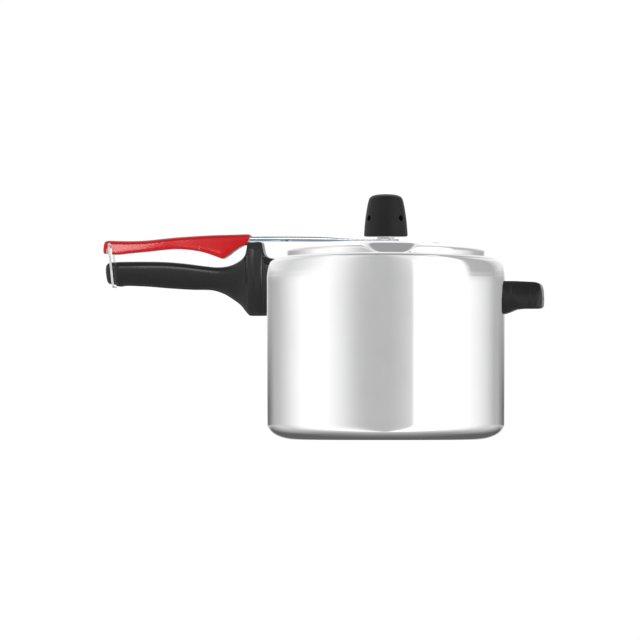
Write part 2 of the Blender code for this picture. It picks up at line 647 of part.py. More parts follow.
def make_safety_plug(parent):
    """Rubber plug: a low head on the lid, a neck through it and a flange under it."""
    outline = millimetres([(0.0, -6.2), (2.2, -6.2), (5.2, -4.9), (5.4, -2.7), (3.8, -2.6),
                           (3.8, 0.5), (5.8, 0.55), (6.0, 1.2), (4.8, 1.8), (0.0, 2.0)])
    place, out = plug_seat()
    plug = add_object("safety_plug", aimed(turned(outline, 20), place, out),
                      "safety_silicone")
    ride(plug, parent)


def make_weight(parent):
    """Regulating weight: a metal core inside a black cover, held by a push-in ring."""
    outside = [(18.3 * MM, WEIGHT_BOTTOM), (18.6 * MM, WEIGHT_BOTTOM + 1.0 * MM)]
    outside += millimetres([(18.3, 178.0), (17.7, 185.0), (16.8, 192.0), (15.6, 199.0)])
    outside += millimetres([(14.3, 205.0), (13.6, 206.9), (12.0, 207.8), (7.0, 208.5)])
    outside += [(0.0, WEIGHT_TOP)]
    inside = millimetres([(0.0, 202.0), (12.6, 202.0), (13.2, 196.0), (14.2, 178.0)])
    inside += millimetres([(15.6, 173.6)]) + [(15.8 * MM, WEIGHT_BOTTOM)]
    outline = list(reversed(outside)) + list(reversed(inside))
    cover = add_object("weight_cover", turned(outline, 40), "black_phenolic")
    for number, degrees in enumerate(WEIGHT_HOLE_ANGLES):
        angle = math.radians(degrees)
        reach = Vector((math.cos(angle), math.sin(angle), 0.0))
        start = reach * 12 * MM + Vector((0, 0, WEIGHT_HOLE_Z))
        end = reach * 24 * MM + Vector((0, 0, WEIGHT_HOLE_Z))
        boolean(cover, add_object(f"steam_way_{number}", rod(start, end, 2.1 * MM, 14)))
    core_outline = millimetres([(0.0, 190.4), (3.6, 188.6), (3.6, 178.4), (11.0, 178.4),
                                (11.6, 179.2), (11.6, 195.6), (12.2, 196.4), (12.2, 201.4),
                                (0.0, 201.4)])
    core = add_object("weight_core", turned(core_outline, 20), "zinc_plated_steel")
    ring_outline = millimetres([(9.6, 176.2), (14.0, 176.2), (13.85, 178.0), (9.6, 178.0)])
    ring = add_object("weight_ring", turned(ring_outline, 20, closed=True),
                      "zinc_plated_steel")
    for made in (cover, core, ring):
        ride(made, parent)


def make_bail(parent):
    """Wire loop: two legs, a foot bar under the pot handle, and two ends bent into the lid
    handle."""
    top_x, top_z = BAIL_PIVOT
    foot_x, foot_z = BAIL_FOOT
    bend = 4.0 * MM
    along = Vector((foot_x - top_x, 0.0, foot_z - top_z)).normalized()
    across = Vector((0.0, 1.0, 0.0))
    top = Vector((top_x, 0.0, top_z))
    foot = Vector((foot_x, 0.0, foot_z))
    half = BAIL_HALF_WIDTH

    def corner(point, inwards_a, inwards_b):
        return [point + inwards_a * bend * (1 - math.sin(turn))
                + inwards_b * bend * (1 - math.cos(turn))
                for turn in (math.radians(step) for step in (0, 30, 60, 90))]

    path = [top - across * 7 * MM]
    path += corner(top - across * half, across, along)
    path += corner(foot - across * half, -along, across)
    path += corner(foot + across * half, -across, -along)
    path += corner(top + across * half, along, -across)
    path += [top + across * 7 * MM]
    curve = bpy.data.curves.new("latch_bail", 'CURVE')
    curve.dimensions = '3D'
    curve.bevel_depth = WIRE_RADIUS
    curve.bevel_resolution = 2
    curve.render_resolution_u = 0
    curve.use_fill_caps = True
    spline = curve.splines.new('POLY')
    spline.points.add(len(path) - 1)
    for point, place in zip(spline.points, path):
        point.co = (*(place - top), 1.0)
    curve.materials.append(material("bright_steel"))
    bail = bpy.data.objects.new("latch_bail", curve)
    bpy.context.scene.collection.objects.link(bail)
    bail.parent = parent
    return bail


# ---------------------------------------------------------------- whole object

def build():
    for old in list(bpy.data.objects):
        bpy.data.objects.remove(old, do_unlink=True)
    make_pot()
    make_pot_handle()
    make_handle_bracket()
    for number, z in enumerate(LONG_RIVET_Z):
        rivet(f"pot_handle_rivet_{number + 1}", -1, 0.0, z, 104.5 * MM)
    pan_screw("pot_handle_screw", (HANDLE_SCREW_X, 0, 108.2 * MM), (0, 0, 1), 10.5 * MM)
    plain_nut("pot_handle_nut", (HANDLE_SCREW_X, 0, 116.4 * MM), 4.0 * MM, 2.6 * MM, 2.8 * MM,
              sides=6)
    make_helper_handle()
    make_helper_bracket()
    for number, y in enumerate(HELPER_RIVET_Y):
        rivet(f"helper_rivet_{number + 1}", 1, y, HELPER_RIVET_Z, 103.9 * MM)
    pan_screw("helper_screw", (112.4 * MM, 0, HELPER_SCREW_Z), (-1, 0, 0), 8.0 * MM)
    lever = add_empty("lid_lever_axis", (FULCRUM_X, 0.0, BAR_BOTTOM))
    make_lid(lever)
    make_gasket(lever)
    make_lid_bar(lever)
    make_lid_handle(lever)
    for number, x in enumerate((-130 * MM, -150 * MM)):
        made = pan_screw(f"lid_handle_screw_{number + 1}", (x, 0, 164.4 * MM), (0, 0, 1),
                         7.2 * MM, 2.0 * MM, 3.8 * MM)
        ride(made, lever)
    make_vent(lever)
    make_safety_plug(lever)
    weight_slide = add_empty("weight_axis", (0.0, 0.0, WEIGHT_BOTTOM), lever)
    make_weight(weight_slide)
    bail_axis = add_empty("bail_axis", (BAIL_PIVOT[0], 0.0, BAIL_PIVOT[1]), lever)
    make_bail(bail_axis)


build()
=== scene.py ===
import math
import bmesh
import bpy
import numpy as np
from mathutils import Matrix, Vector
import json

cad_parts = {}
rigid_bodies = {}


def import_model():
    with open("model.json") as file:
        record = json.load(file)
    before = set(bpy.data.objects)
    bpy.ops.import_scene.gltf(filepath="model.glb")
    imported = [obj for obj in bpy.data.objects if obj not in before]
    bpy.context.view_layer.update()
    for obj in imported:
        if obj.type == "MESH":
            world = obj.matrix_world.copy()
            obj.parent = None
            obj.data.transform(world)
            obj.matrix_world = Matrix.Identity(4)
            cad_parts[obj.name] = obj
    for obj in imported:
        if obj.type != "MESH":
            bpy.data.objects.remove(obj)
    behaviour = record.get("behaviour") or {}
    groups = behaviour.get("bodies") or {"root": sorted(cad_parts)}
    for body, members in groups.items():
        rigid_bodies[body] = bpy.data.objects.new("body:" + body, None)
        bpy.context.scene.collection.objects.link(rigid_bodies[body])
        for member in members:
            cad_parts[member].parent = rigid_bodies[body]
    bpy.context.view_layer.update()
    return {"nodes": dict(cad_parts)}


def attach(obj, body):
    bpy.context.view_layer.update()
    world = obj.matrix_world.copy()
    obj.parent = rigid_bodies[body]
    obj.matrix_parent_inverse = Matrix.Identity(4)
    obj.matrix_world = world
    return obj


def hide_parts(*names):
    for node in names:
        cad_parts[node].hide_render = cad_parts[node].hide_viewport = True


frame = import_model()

mm = 0.001
scene = bpy.context.scene
nodes = frame["nodes"]


# Small helpers

def report(stage):
    print("scene:", stage, flush=True)


def smoothLine(points, step=2.0, corner=30.0):
    # Points along a smooth curve through the given ones, in any number of dimensions. A
    # point where the line turns by more than corner degrees stays sharp.
    points = [np.array(point, float) for point in points]
    spans = [after - before for before, after in zip(points, points[1:])]
    tangents = []
    for index in range(len(points)):
        before = spans[index - 1] if index else spans[0]
        after = spans[index] if index < len(spans) else spans[-1]
        longBefore = np.linalg.norm(before)
        longAfter = np.linalg.norm(after)
        cosine = before @ after / (longBefore * longAfter)
        if math.degrees(math.acos(max(-1.0, min(1.0, cosine)))) > corner:
            tangents.append((before, after))
            continue
        mean = before / longBefore + after / longAfter
        mean /= np.linalg.norm(mean)
        tangents.append((mean * longBefore, mean * longAfter))
    line = [points[0]]
    for index, span in enumerate(spans):
        leave = tangents[index][1]
        arrive = tangents[index + 1][0]
        count = max(1, round(np.linalg.norm(span) / step))
        for part in range(1, count + 1):
            t = part / count
            line.append(points[index] * (2 * t ** 3 - 3 * t ** 2 + 1)
                        + leave * (t ** 3 - 2 * t ** 2 + t)
                        + points[index + 1] * (3 * t ** 2 - 2 * t ** 3)
                        + arrive * (t ** 3 - t ** 2))
    return [tuple(point) for point in line]


def softMin(a, b, width):
    # The lower of two values, rounded over where they are within width of each other.
    near = max(width - abs(a - b), 0.0) / width
    return min(a, b) - near * near * width / 4


def spunMesh(outline, steps=160, closed=False):
    # Turn an outline of (radius, height) points, in millimetres, about the Z axis.
    bm = bmesh.new()
    verts = [bm.verts.new((radius * mm, 0.0, height * mm)) for radius, height in outline]
    edges = [bm.edges.new(pair) for pair in zip(verts, verts[1:])]
    if closed:
        edges.append(bm.edges.new((verts[-1], verts[0])))
    bmesh.ops.spin(bm, geom=verts + edges, cent=(0, 0, 0), axis=(0, 0, 1),
                   angle=math.tau, steps=steps, use_merge=True)
    bmesh.ops.remove_doubles(bm, verts=bm.verts, dist=1e-6)
    bmesh.ops.recalc_face_normals(bm, faces=bm.faces)
    bm.normal_update()
    return bm


def tubeThrough(rings, capped=True):
    # A closed skin through rings of the same number of points, in millimetres.
    bm = bmesh.new()
    around = len(rings[0])
    along = len(rings) - 1
    bmesh.ops.create_grid(bm, x_segments=around, y_segments=along, size=1.0)
    for vert in bm.verts:
        column = round((vert.co.x + 1) / 2 * around) % around
        row = round((vert.co.y + 1) / 2 * along)
        vert.co = Vector(rings[row][column]) * mm
    bmesh.ops.remove_doubles(bm, verts=bm.verts, dist=1e-6)
    if capped:
        bmesh.ops.holes_fill(bm, edges=[e for e in bm.edges if e.is_boundary], sides=0)
    bmesh.ops.recalc_face_normals(bm, faces=bm.faces)
    if bm.calc_volume(signed=True) < 0:
        bmesh.ops.reverse_faces(bm, faces=bm.faces)
    return bm


def boxMesh(low, high, rounding=0.0, segments=3):
    bm = bmesh.new()
    size = [(b - a) * mm for a, b in zip(low, high)]
    middle = [(a + b) / 2 * mm for a, b in zip(low, high)]
    matrix = Matrix.Translation(middle) @ Matrix.Diagonal((*size, 1.0))
    bmesh.ops.create_cube(bm, size=1.0, matrix=matrix)
    if rounding:
        bmesh.ops.bevel(bm, geom=bm.edges[:], offset=rounding * mm, segments=segments,
                        affect='EDGES', profile=0.5, material=-1)
    return bm


def rodMesh(start, end, radius, steps=40):
    bm = bmesh.new()
    start = Vector(start) * mm
    end = Vector(end) * mm
    turn = (end - start).to_track_quat('Z', 'Y').to_matrix().to_4x4()
    bmesh.ops.create_cone(bm, cap_ends=True, segments=steps, radius1=radius * mm,
                          radius2=radius * mm, depth=(end - start).length,
                          matrix=Matrix.Translation((start + end) / 2) @ turn)
    return bm


def extrudedMesh(outline, half):
    # An (x, z) outline in millimetres, extruded along Y to both sides of the middle.
    bm = bmesh.new()
    face = bm.faces.new([bm.verts.new((x * mm, -half * mm, z * mm)) for x, z in outline])
    made = bmesh.ops.extrude_face_region(bm, geom=[face])
    moved = [item for item in made["geom"] if isinstance(item, bmesh.types.BMVert)]
    bmesh.ops.translate(bm, vec=(0, 2 * half * mm, 0), verts=moved)
    bmesh.ops.recalc_face_normals(bm, faces=bm.faces)
    return bm


def makeObject(name, bm):
    mesh = bpy.data.meshes.new(name)
    bm.to_mesh(mesh)
    bm.free()
    made = bpy.data.objects.new(name, mesh)
    bpy.context.scene.collection.objects.link(made)
    return made


def cut(target, bm, operation='DIFFERENCE'):
    # Cut target's mesh by another, and keep the result as its mesh.
    cutter = makeObject("cutter", bm)
    change = target.modifiers.new("cut", 'BOOLEAN')
    change.operation = operation
    change.solver = 'MANIFOLD'
    change.object = cutter
    bpy.context.view_layer.update()
    result = target.evaluated_get(bpy.context.evaluated_depsgraph_get())
    mesh = bpy.data.meshes.new_from_object(result)
    target.modifiers.clear()
    old = target.data
    target.data = mesh
    mesh.name = target.name
    bpy.data.meshes.remove(old)
    bpy.data.objects.remove(cutter, do_unlink=True)


def roundEdges(target, width, angle=35.0, segments=2):
    # Round the edges that are sharper than angle by a small width, in millimetres.
    change = target.modifiers.new("rounded edges", 'BEVEL')
    change.width = width * mm
    change.segments = segments
    change.limit_method = 'ANGLE'
    change.angle_limit = math.radians(angle)
    change.use_clamp_overlap = True
    change.harden_normals = True


def placePiece(made, body, angle):
    # Shade a piece, say which body it rides on, and hide the node it replaces.
    made.data.shade_smooth()
    made.data.set_sharp_from_angle(angle=math.radians(angle))
    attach(made, body)
    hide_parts(made.name.removesuffix("_fine"))


def finishPiece(made, material, body, angle=30.0):
    # The same for a piece with one material all over.
    made.data.materials.clear()
    made.data.materials.append(material)
    placePiece(made, body, angle)


# Materials

def srgb(text):
    # Linear colour of a #RRGGBB text.
    parts = [int(text[place:place + 2], 16) / 255 for place in (1, 3, 5)]
    return tuple(p / 12.92 if p <= 0.04045 else ((p + 0.055) / 1.055) ** 2.4
                 for p in parts) + (1.0,)


def addNode(tree, kind, inputs=None, **settings):
    node = tree.nodes.new(kind)
    for key, value in settings.items():
        setattr(node, key, value)
    for key, value in (inputs or {}).items():
        if isinstance(value, bpy.types.NodeSocket):
            tree.links.new(value, node.inputs[key])
        else:
            node.inputs[key].default_value = value
    return node


def startMaterial(name, **values):
    # A material and its shader, with values the same all over set on the shader itself.
    made = bpy.data.materials.new(name)
    made.use_nodes = True
    tree = made.node_tree
    shader = tree.nodes["Principled BSDF"]
    for key, value in values.items():
        shader.inputs[key.replace("_", " ")].default_value = value
    place = addNode(tree, "ShaderNodeTexCoord").outputs["Object"]
    return made, tree, shader, place


def product(tree, first, second):
    return addNode(tree, "ShaderNodeMath", {0: first, 1: second},
                   operation='MULTIPLY').outputs[0]


def grey(value):
    return (value, value, value, 1)


def noiseAt(tree, place, scale, detail=2.0, stretch=(1, 1, 1), roughness=0.5):
    # Noise whose grains are about 1/scale metres across, stretched along the axes.
    moved = addNode(tree, "ShaderNodeMapping", {"Vector": place, "Scale": stretch})
    return addNode(tree, "ShaderNodeTexNoise",
                   {"Vector": moved.outputs["Vector"], "Scale": scale, "Detail": detail,
                    "Roughness": roughness}).outputs["Fac"]


def mapped(tree, value, low, high, fromLow=0.3, fromHigh=0.7):
    return addNode(tree, "ShaderNodeMapRange",
                   {"Value": value, "From Min": fromLow, "From Max": fromHigh,
                    "To Min": low, "To Max": high}).outputs["Result"]


def mixedColour(tree, factor, first, second):
    node = addNode(tree, "ShaderNodeMix", data_type='RGBA')
    tree.links.new(factor, node.inputs[0])
    for slot, value in ((6, first), (7, second)):
        if isinstance(value, bpy.types.NodeSocket):
            tree.links.new(value, node.inputs[slot])
        else:
            node.inputs[slot].default_value = value
    return node.outputs[2]


def raised(tree, shader, height, strength, distance):
    bump = addNode(tree, "ShaderNodeBump",
                   {"Height": height, "Strength": strength, "Distance": distance})
    tree.links.new(bump.outputs["Normal"], shader.inputs["Normal"])


def polishedAluminium():
    # Drawn sheet, buffed on a lathe: the buffing leaves hair lines round the axis, which
    # spread each reflection a little up and down, and handling leaves soft dull patches.
    made, tree, shader, place = startMaterial("buffed_drawn_aluminium", Metallic=1.0)
    lines = noiseAt(tree, place, 1500, 2, (0.03, 0.03, 1.0))
    dull = noiseAt(tree, place, 28, 3)
    colour = mixedColour(tree, mapped(tree, dull, 0, 1), srgb("#F3F3F4"), srgb("#F7F7F7"))
    tree.links.new(colour, shader.inputs["Base Color"])
    rough = addNode(tree, "ShaderNodeMath",
                    {0: mapped(tree, lines, 0.0, 0.025), 1: mapped(tree, dull, 0.075, 0.10)})
    tree.links.new(rough.outputs[0], shader.inputs["Roughness"])
    raised(tree, shader, lines, 0.02, 0.00002)
    return made


def satinAluminium():
    # The inside is left as spun and brushed round: a soft sheen with fine turned lines.
    made, tree, shader, place = startMaterial("brushed_drawn_aluminium", Metallic=1.0)
    lines = noiseAt(tree, place, 1500, 2, (0.05, 0.05, 1.0))
    cloud = noiseAt(tree, place, 40, 3)
    colour = mixedColour(tree, mapped(tree, cloud, 0, 1), srgb("#D2D2D3"), srgb("#E0E0E1"))
    tree.links.new(colour, shader.inputs["Base Color"])
    tree.links.new(mapped(tree, lines, 0.30, 0.42), shader.inputs["Roughness"])
    raised(tree, shader, lines, 0.12, 0.00004)
    return made


def rolledSteel():
    # Cold-rolled bright strip: near mirror, its faces slightly wavy from the pressing. Its
    # colour goes darker and bluer along the same waves, which is a painted reflection.
    made, tree, shader, place = startMaterial("bright_rolled_steel", Metallic=1.0)
    wavesAndPaintedReflection = noiseAt(tree, place, 60, 1, (0.35, 1.0, 1.6))
    grain = noiseAt(tree, place, 1400, 2, (0.06, 1.0, 1.0))
    # Darker, bluer colour where the waves dip: painted reflection.
    colour = mixedColour(tree, mapped(tree, wavesAndPaintedReflection, 0, 1), srgb("#A9BCCB"), srgb("#DDE4EA"))
    tree.links.new(colour, shader.inputs["Base Color"])
    tree.links.new(mapped(tree, grain, 0.09, 0.12), shader.inputs["Roughness"])
    raised(tree, shader, wavesAndPaintedReflection, 0.3, 0.0004)
    return made


def drawnWire(name="nickel_plated_drawn_wire"):
    # Nickel-plated after drawing or turning: bright with faint lengthwise lines.
    made, tree, shader, place = startMaterial(name, Metallic=1.0)
    lines = noiseAt(tree, place, 2200, 2, (1.0, 1.0, 0.04))
    cloud = noiseAt(tree, place, 150, 2)
    colour = mixedColour(tree, mapped(tree, cloud, 0, 1), srgb("#CFD0D2"), srgb("#EDEDEE"))
    tree.links.new(colour, shader.inputs["Base Color"])
    tree.links.new(mapped(tree, lines, 0.12, 0.22), shader.inputs["Roughness"])
    raised(tree, shader, lines, 0.1, 0.00003)
    return made


def platedSteel(name, dark, light):
    # Plated pressed and headed steel: cloudy, a little grainy.
    made, tree, shader, place = startMaterial(name, Metallic=1.0)
    cloud = noiseAt(tree, place, 260, 3)
    grain = noiseAt(tree, place, 1800, 2)
    colour = mixedColour(tree, mapped(tree, cloud, 0, 1), srgb(dark), srgb(light))
    tree.links.new(colour, shader.inputs["Base Color"])
    tree.links.new(mapped(tree, grain, 0.28, 0.42), shader.inputs["Roughness"])
    raised(tree, shader, grain, 0.15, 0.00005)
    return made


def castAluminium():
    # Plain turned rivet heads: duller than the buffed wall, with peening marks.
    made, tree, shader, place = startMaterial("peened_aluminium_rivet", Metallic=1.0)
    dents = noiseAt(tree, place, 700, 2)
    colour = mixedColour(tree, mapped(tree, dents, 0, 1), srgb("#BEBFC0"), srgb("#DADADB"))
    tree.links.new(colour, shader.inputs["Base Color"])
    tree.links.new(mapped(tree, dents, 0.24, 0.36), shader.inputs["Roughness"])
    raised(tree, shader, dents, 0.3, 0.00012)
    return made


def mouldedPhenolic(name, dark, light, gloss, matt, grain, shine):
    # Compression-moulded thermoset with a fine mould texture.
    made, tree, shader, place = startMaterial(name, Specular_IOR_Level=shine)
    mottle = noiseAt(tree, place, 90, 3)
    fine = noiseAt(tree, place, 1600, 3, roughness=0.6)
    flow = noiseAt(tree, place, 55, 1)
    colour = mixedColour(tree, mapped(tree, mottle, 0, 1), srgb(dark), srgb(light))
    tree.links.new(colour, shader.inputs["Base Color"])
    tree.links.new(mapped(tree, fine, gloss, matt), shader.inputs["Roughness"])
    height = addNode(tree, "ShaderNodeMath", {0: fine, 1: 0.6, 2: flow},
                     operation='MULTIPLY_ADD')
    raised(tree, shader, height.outputs[0], grain, 0.00006)
    return made


def silicone(name, dark, light):
    # Moulded silicone rubber: soft sheen, a dusting of fine powder, faint mould orange peel.
    made, tree, shader, place = startMaterial(name, Specular_IOR_Level=0.35)
    dust = noiseAt(tree, place, 420, 3)
    peel = noiseAt(tree, place, 1100, 2)
    colour = mixedColour(tree, mapped(tree, dust, 0, 1), srgb(dark), srgb(light))
    tree.links.new(colour, shader.inputs["Base Color"])
    tree.links.new(mapped(tree, dust, 0.5, 0.68), shader.inputs["Roughness"])
    raised(tree, shader, peel, 0.2, 0.0001)
    return made


# Black handles: satin, so the light from above draws one soft line along each shoulder.
blackPhenolic = mouldedPhenolic("moulded_black_phenolic", "#121213", "#161617",
                                gloss=0.24, matt=0.32, grain=0.05, shine=0.42)
# Red grip: glossier and saturated; the gloss is what pales its near end.
redPhenolic = mouldedPhenolic("moulded_red_phenolic", "#B50009", "#C0030C",
                              gloss=0.15, matt=0.19, grain=0.012, shine=0.35)
# The weight's cover is blasted in the mould: matt, so its sides only lighten softly.
weightPhenolic = mouldedPhenolic("blasted_black_phenolic", "#101011", "#161617",
                                 gloss=0.38, matt=0.54, grain=0.16, shine=0.32)
# The walls of its side holes are rough from the drill; their near-black colour is painted
# shade in the holes.
holeShadePhenolic = mouldedPhenolic("hole_shade_black_phenolic", "#050505", "#090909",
                               gloss=0.7, matt=0.85, grain=0.1, shine=0.05)
aluminium = polishedAluminium()
satin = satinAluminium()
steel = rolledSteel()
turnedSteel = drawnWire("bright_turned_steel")
wire = drawnWire()
zinc = platedSteel("zinc_plated_pressed_steel", "#A3A29E", "#C4C4C2")
# The weight's core is painted near black, as painted shade seen through its cover's holes, so
# that they look black.
holeShadeSteel = platedSteel("hole_shade_dark_steel", "#141415", "#1E1E20")
rivetMetal = castAluminium()
greySilicone = silicone("moulded_grey_silicone", "#8B8E8F", "#A3A6A7")
redSilicone = silicone("moulded_red_silicone", "#9C1512", "#B5221C")
report("materials")


# Pot: one drawn and spun shell. Its wall draws in at the sides to an oval mouth, and the
# mouth's lip stands wider and higher at the front and back.
pot = {"radius": 101.2, "wall": 2.1, "shoulder": 138.0, "crease": 152.6,
       "widen": 6.5, "rise": 2.7}


def ellipseArc(centre, radii, start, end, count):
    turns = [math.radians(start + (end - start) * i / count) for i in range(count + 1)]
    return [(centre[0] + radii[0] * math.cos(t), centre[1] + radii[1] * math.sin(t))
            for t in turns]


def potOutside():
    corner = ellipseArc((75.6, 13.6), (25.0, 13.6), -90, 0, 28)
    wall = smoothLine([(100.6, 13.6), (100.9, 70.0), (101.2, 138.0)], 6)
    shoulder = smoothLine([(101.2, 138.0), (100.5, 143.6), (99.3, 148.0), (97.6, 151.0),
                           (95.6, 152.3), (94.7, 152.6)], 0.6, 60)
    lip = smoothLine([(94.7, 152.6), (94.0, 153.6), (92.6, 154.5), (91.0, 155.1),
                      (89.6, 155.2), (88.2, 155.0), (87.4, 154.6)], 0.5, 60)
    return corner, wall[1:] + shoulder[1:] + lip[1:]


def potInside():
    mouth = smoothLine([(87.4, 154.6), (87.0, 153.9), (87.0, 153.2), (87.6, 152.2),
                        (91.6, 151.9), (94.8, 150.2), (97.0, 147.2), (98.3, 143.2),
                        (99.1, 138.0)], 0.8, 60)
    wall = smoothLine([(99.1, 138.0), (98.9, 70.0), (98.5, 14.6)], 6)
    corner = ellipseArc((76.5, 14.6), (22.0, 11.8), 0, -90, 24)
    return mouth[1:] + wall[1:] + corner[1:]


def widenMouth(bm, extra=0.0):
    # Move the mouth out and up towards the front and back; inside and outside alike.
    for vert in bm.verts:
        radius = math.hypot(vert.co.x, vert.co.y) / mm
        height = vert.co.z / mm
        if height <= pot["shoulder"] or radius < 60:
            continue
        outer = pot["radius"] + extra
        front = (vert.co.y / mm / radius) ** 2
        wall = outer - (pot["wall"] if vert.tag else 0.0)
        lifted = min(1.0, (height - pot["shoulder"]) / (pot["crease"] - pot["shoulder"]))
        out = min(pot["widen"], wall - radius)
        vert.co.x *= (radius + out * front) / radius
        vert.co.y *= (radius + out * front) / radius
        vert.co.z += pot["rise"] * lifted ** 2 * front * mm


def makePotShell():
    corner, rest = potOutside()
    base = smoothLine([(0.0, 0.35), (18.0, 0.35), (20.0, 0.0), (40.0, 0.0), (75.6, 0.0)], 3)
    outside = base + corner[1:] + rest
    inside = potInside() + smoothLine([(76.5, 2.8), (0.0, 2.8)], 8)[1:]
    bm = spunMesh(outside + inside, 224)
    for vert in bm.verts:
        radius = math.hypot(vert.co.x, vert.co.y) / mm
        facing = vert.normal.x * vert.co.x + vert.normal.y * vert.co.y
        height = vert.co.z / mm
        vert.tag = facing < 0 if height < 151.5 else radius < 87.5
    widenMouth(bm)
    bm.normal_update()
    for face in bm.faces:
        middle = face.calc_center_median()
        radius = math.hypot(middle.x, middle.y)
        inward = face.normal.x * middle.x + face.normal.y * middle.y < 0
        deep = middle.z < 152.0 * mm and (inward or radius < 80 * mm) and middle.z > 2.0 * mm
        face.material_index = 1 if deep and not (face.normal.z < -0.5) else 0
    made = makeObject("pot_body_fine", bm)
    made.data.materials.append(aluminium)
    made.data.materials.append(satin)
    placePiece(made, "pot", 32)


def potClearance(gap=0.35):
    # The pot's outside with a gap round it, as a closed cutter.
    corner, rest = potOutside()
    outline = [(0.0, 60.0)] + [(r + gap, z + (gap if z > 150 else 0.0))
                               for r, z in rest if z > 60 and r > 92]
    outline += [(0.0, outline[-1][1])]
    outline.insert(1, (outline[1][0], 60.0))
    bm = spunMesh(outline, 160)
    widenMouth(bm, gap)
    return bm


makePotShell()
report("pot")


# Handles: each is lofted along X through stations (top x, top z, bottom x, bottom z, half
# width). Its section has a narrow sloped shoulder, a flat side and a rounded underside.

def handleSection(halfWidth, height, shoulder, under):
    # Half a section from the top's middle to the bottom's middle: how far out, and how far
    # down the way from the top to the bottom, as shares. A band slopes down from the top to a
    # low bead, and the flat side lies under the bead.
    top = min(shoulder / height, 0.4)
    bead = top * 2.1
    low = min(under / height, 0.4)
    points = [(0.0, 0.0), (0.45, 0.01 * top), (0.70, 0.10 * top), (0.80, 0.34 * top),
              (0.90, 0.86 * top), (0.925, top), (0.96, top + 0.3 * (bead - top)),
              (0.985, top + 0.75 * (bead - top)), (0.995, bead),
              (1.0, (1 + bead - low) / 2),
              (0.985, 1 - low * 1.1), (0.93, 1 - low * 0.5), (0.78, 1 - low * 0.12),
              (0.5, 1.0), (0.0, 1.0)]
    return [(side * halfWidth, share) for side, share in points]


def handleLoft(stations, shoulder, under, step, limit=None):
    rings = []
    for xTop, zTop, xLow, zLow, halfWidth in smoothLine(stations, step, 50):
        height = max(math.hypot(xTop - xLow, zTop - zLow), 0.5)
        half = smoothLine(handleSection(halfWidth, height, shoulder, under), 1.0, 60)
        wanted = 40
        spots = np.linspace(0, len(half) - 1, wanted)
        side = np.interp(spots, range(len(half)), [p[0] for p in half])
        share = np.interp(spots, range(len(half)), [p[1] for p in half])
        ring = []
        for out, down in zip(side, share):
            ring.append((xTop + (xLow - xTop) * down, out, zTop + (zLow - zTop) * down))
        ring += [(x, -y, z) for x, y, z in reversed(ring[1:-1])]
        if limit:
            ring = [(x, math.copysign(softMin(abs(y), limit(x, z), 1.0), y) if abs(y) > 0.01
                     else 0.0, z) for x, y, z in ring]
        rings.append(ring)
    return tubeThrough(rings)


def interpolated(table):
    keys = [pair[0] for pair in table]
    values = [pair[1] for pair in table]
    return lambda key: float(np.interp(key, keys, values))


longHandle = {
    "stations": [
        (-238.2, 143.5, -237.6, 139.0, 8.6), (-238.3, 145.8, -237.2, 136.2, 10.4),
        (-237.7, 148.3, -236.5, 133.9, 11.9), (-236.2, 149.9, -235.2, 132.6, 12.9),
        (-233.4, 150.8, -233.0, 132.1, 13.5), (-232.4, 150.9, -232.2, 132.0, 13.5),
        (-231.9, 150.9, -231.6, 132.0, 12.6), (-230.4, 150.9, -230.3, 131.9, 12.6),
        (-229.6, 151.0, -229.5, 131.8, 13.8), (-228.6, 151.15, -228.6, 130.7, 14.1),
        (-222.0, 151.3, -221.0, 130.9, 14.4),
        (-212.1, 151.4, -206.1, 130.4, 14.6), (-188.3, 151.1, -183.2, 128.6, 13.9),
        (-170.5, 149.7, -164.5, 127.5, 13.1), (-154.8, 147.7, -148.8, 127.1, 12.6),
        (-142.9, 146.6, -140.8, 125.2, 13.0), (-134.8, 147.3, -134.8, 122.5, 13.7),
        (-128.9, 149.1, -128.9, 118.7, 14.4), (-122.9, 152.7, -122.6, 113.9, 15.4),
        (-119.0, 157.4, -118.0, 108.2, 16.4), (-117.8, 162.2, -116.2, 106.3, 16.9),
        (-117.4, 165.2, -115.0, 105.4, 17.2), (-117.0, 167.0, -113.8, 105.3, 17.4),
        (-115.8, 167.6, -112.6, 105.3, 17.6), (-112.0, 167.85, -110.4, 105.3, 18.0),
        (-108.2, 168.1, -107.6, 105.3, 18.5),
        (-106.0, 167.9, -105.6, 105.3, 18.8), (-104.7, 167.0, -103.8, 105.3, 19.1),
        (-104.0, 163.4, -102.6, 105.3, 19.3), (-102.4, 157.4, -101.0, 105.3, 19.5),
        (-99.0, 154.6, -98.0, 105.3, 19.5), (-95.0, 154.0, -95.0, 105.3, 19.5)],
    "front": [(100, 15.0), (105, 16.8), (112, 19.2), (120, 19.5), (146.5, 19.5),
              (148.2, 19.0), (154.6, 12.6), (155.6, 12.1), (160, 12.0), (168, 11.6),
              (172, 11.5)]}


def makeLongHandle():
    width = interpolated(longHandle["front"])
    bm = handleLoft(longHandle["stations"], 3.2, 4.0, 1.2, lambda x, z: width(z))
    made = makeObject("pot_handle_fine", bm)
    cut(made, potClearance())
    cut(made, boxMesh((-113.5, -11, 111.6), (-90, 11, 146), 0.6))
    cut(made, rodMesh((-108.8, 0, 100), (-108.8, 0, 112), 2.9))
    cut(made, rodMesh((-108.8, 0, 100), (-108.8, 0, 108.6), 4.6))
    finishPiece(made, blackPhenolic, "pot", 38)


# Sizes that the lever's pieces share.
lever = {"stemWay": 4.4, "screws": (-130, -150), "screwWay": 2.4, "screwHeadWay": 4.2}

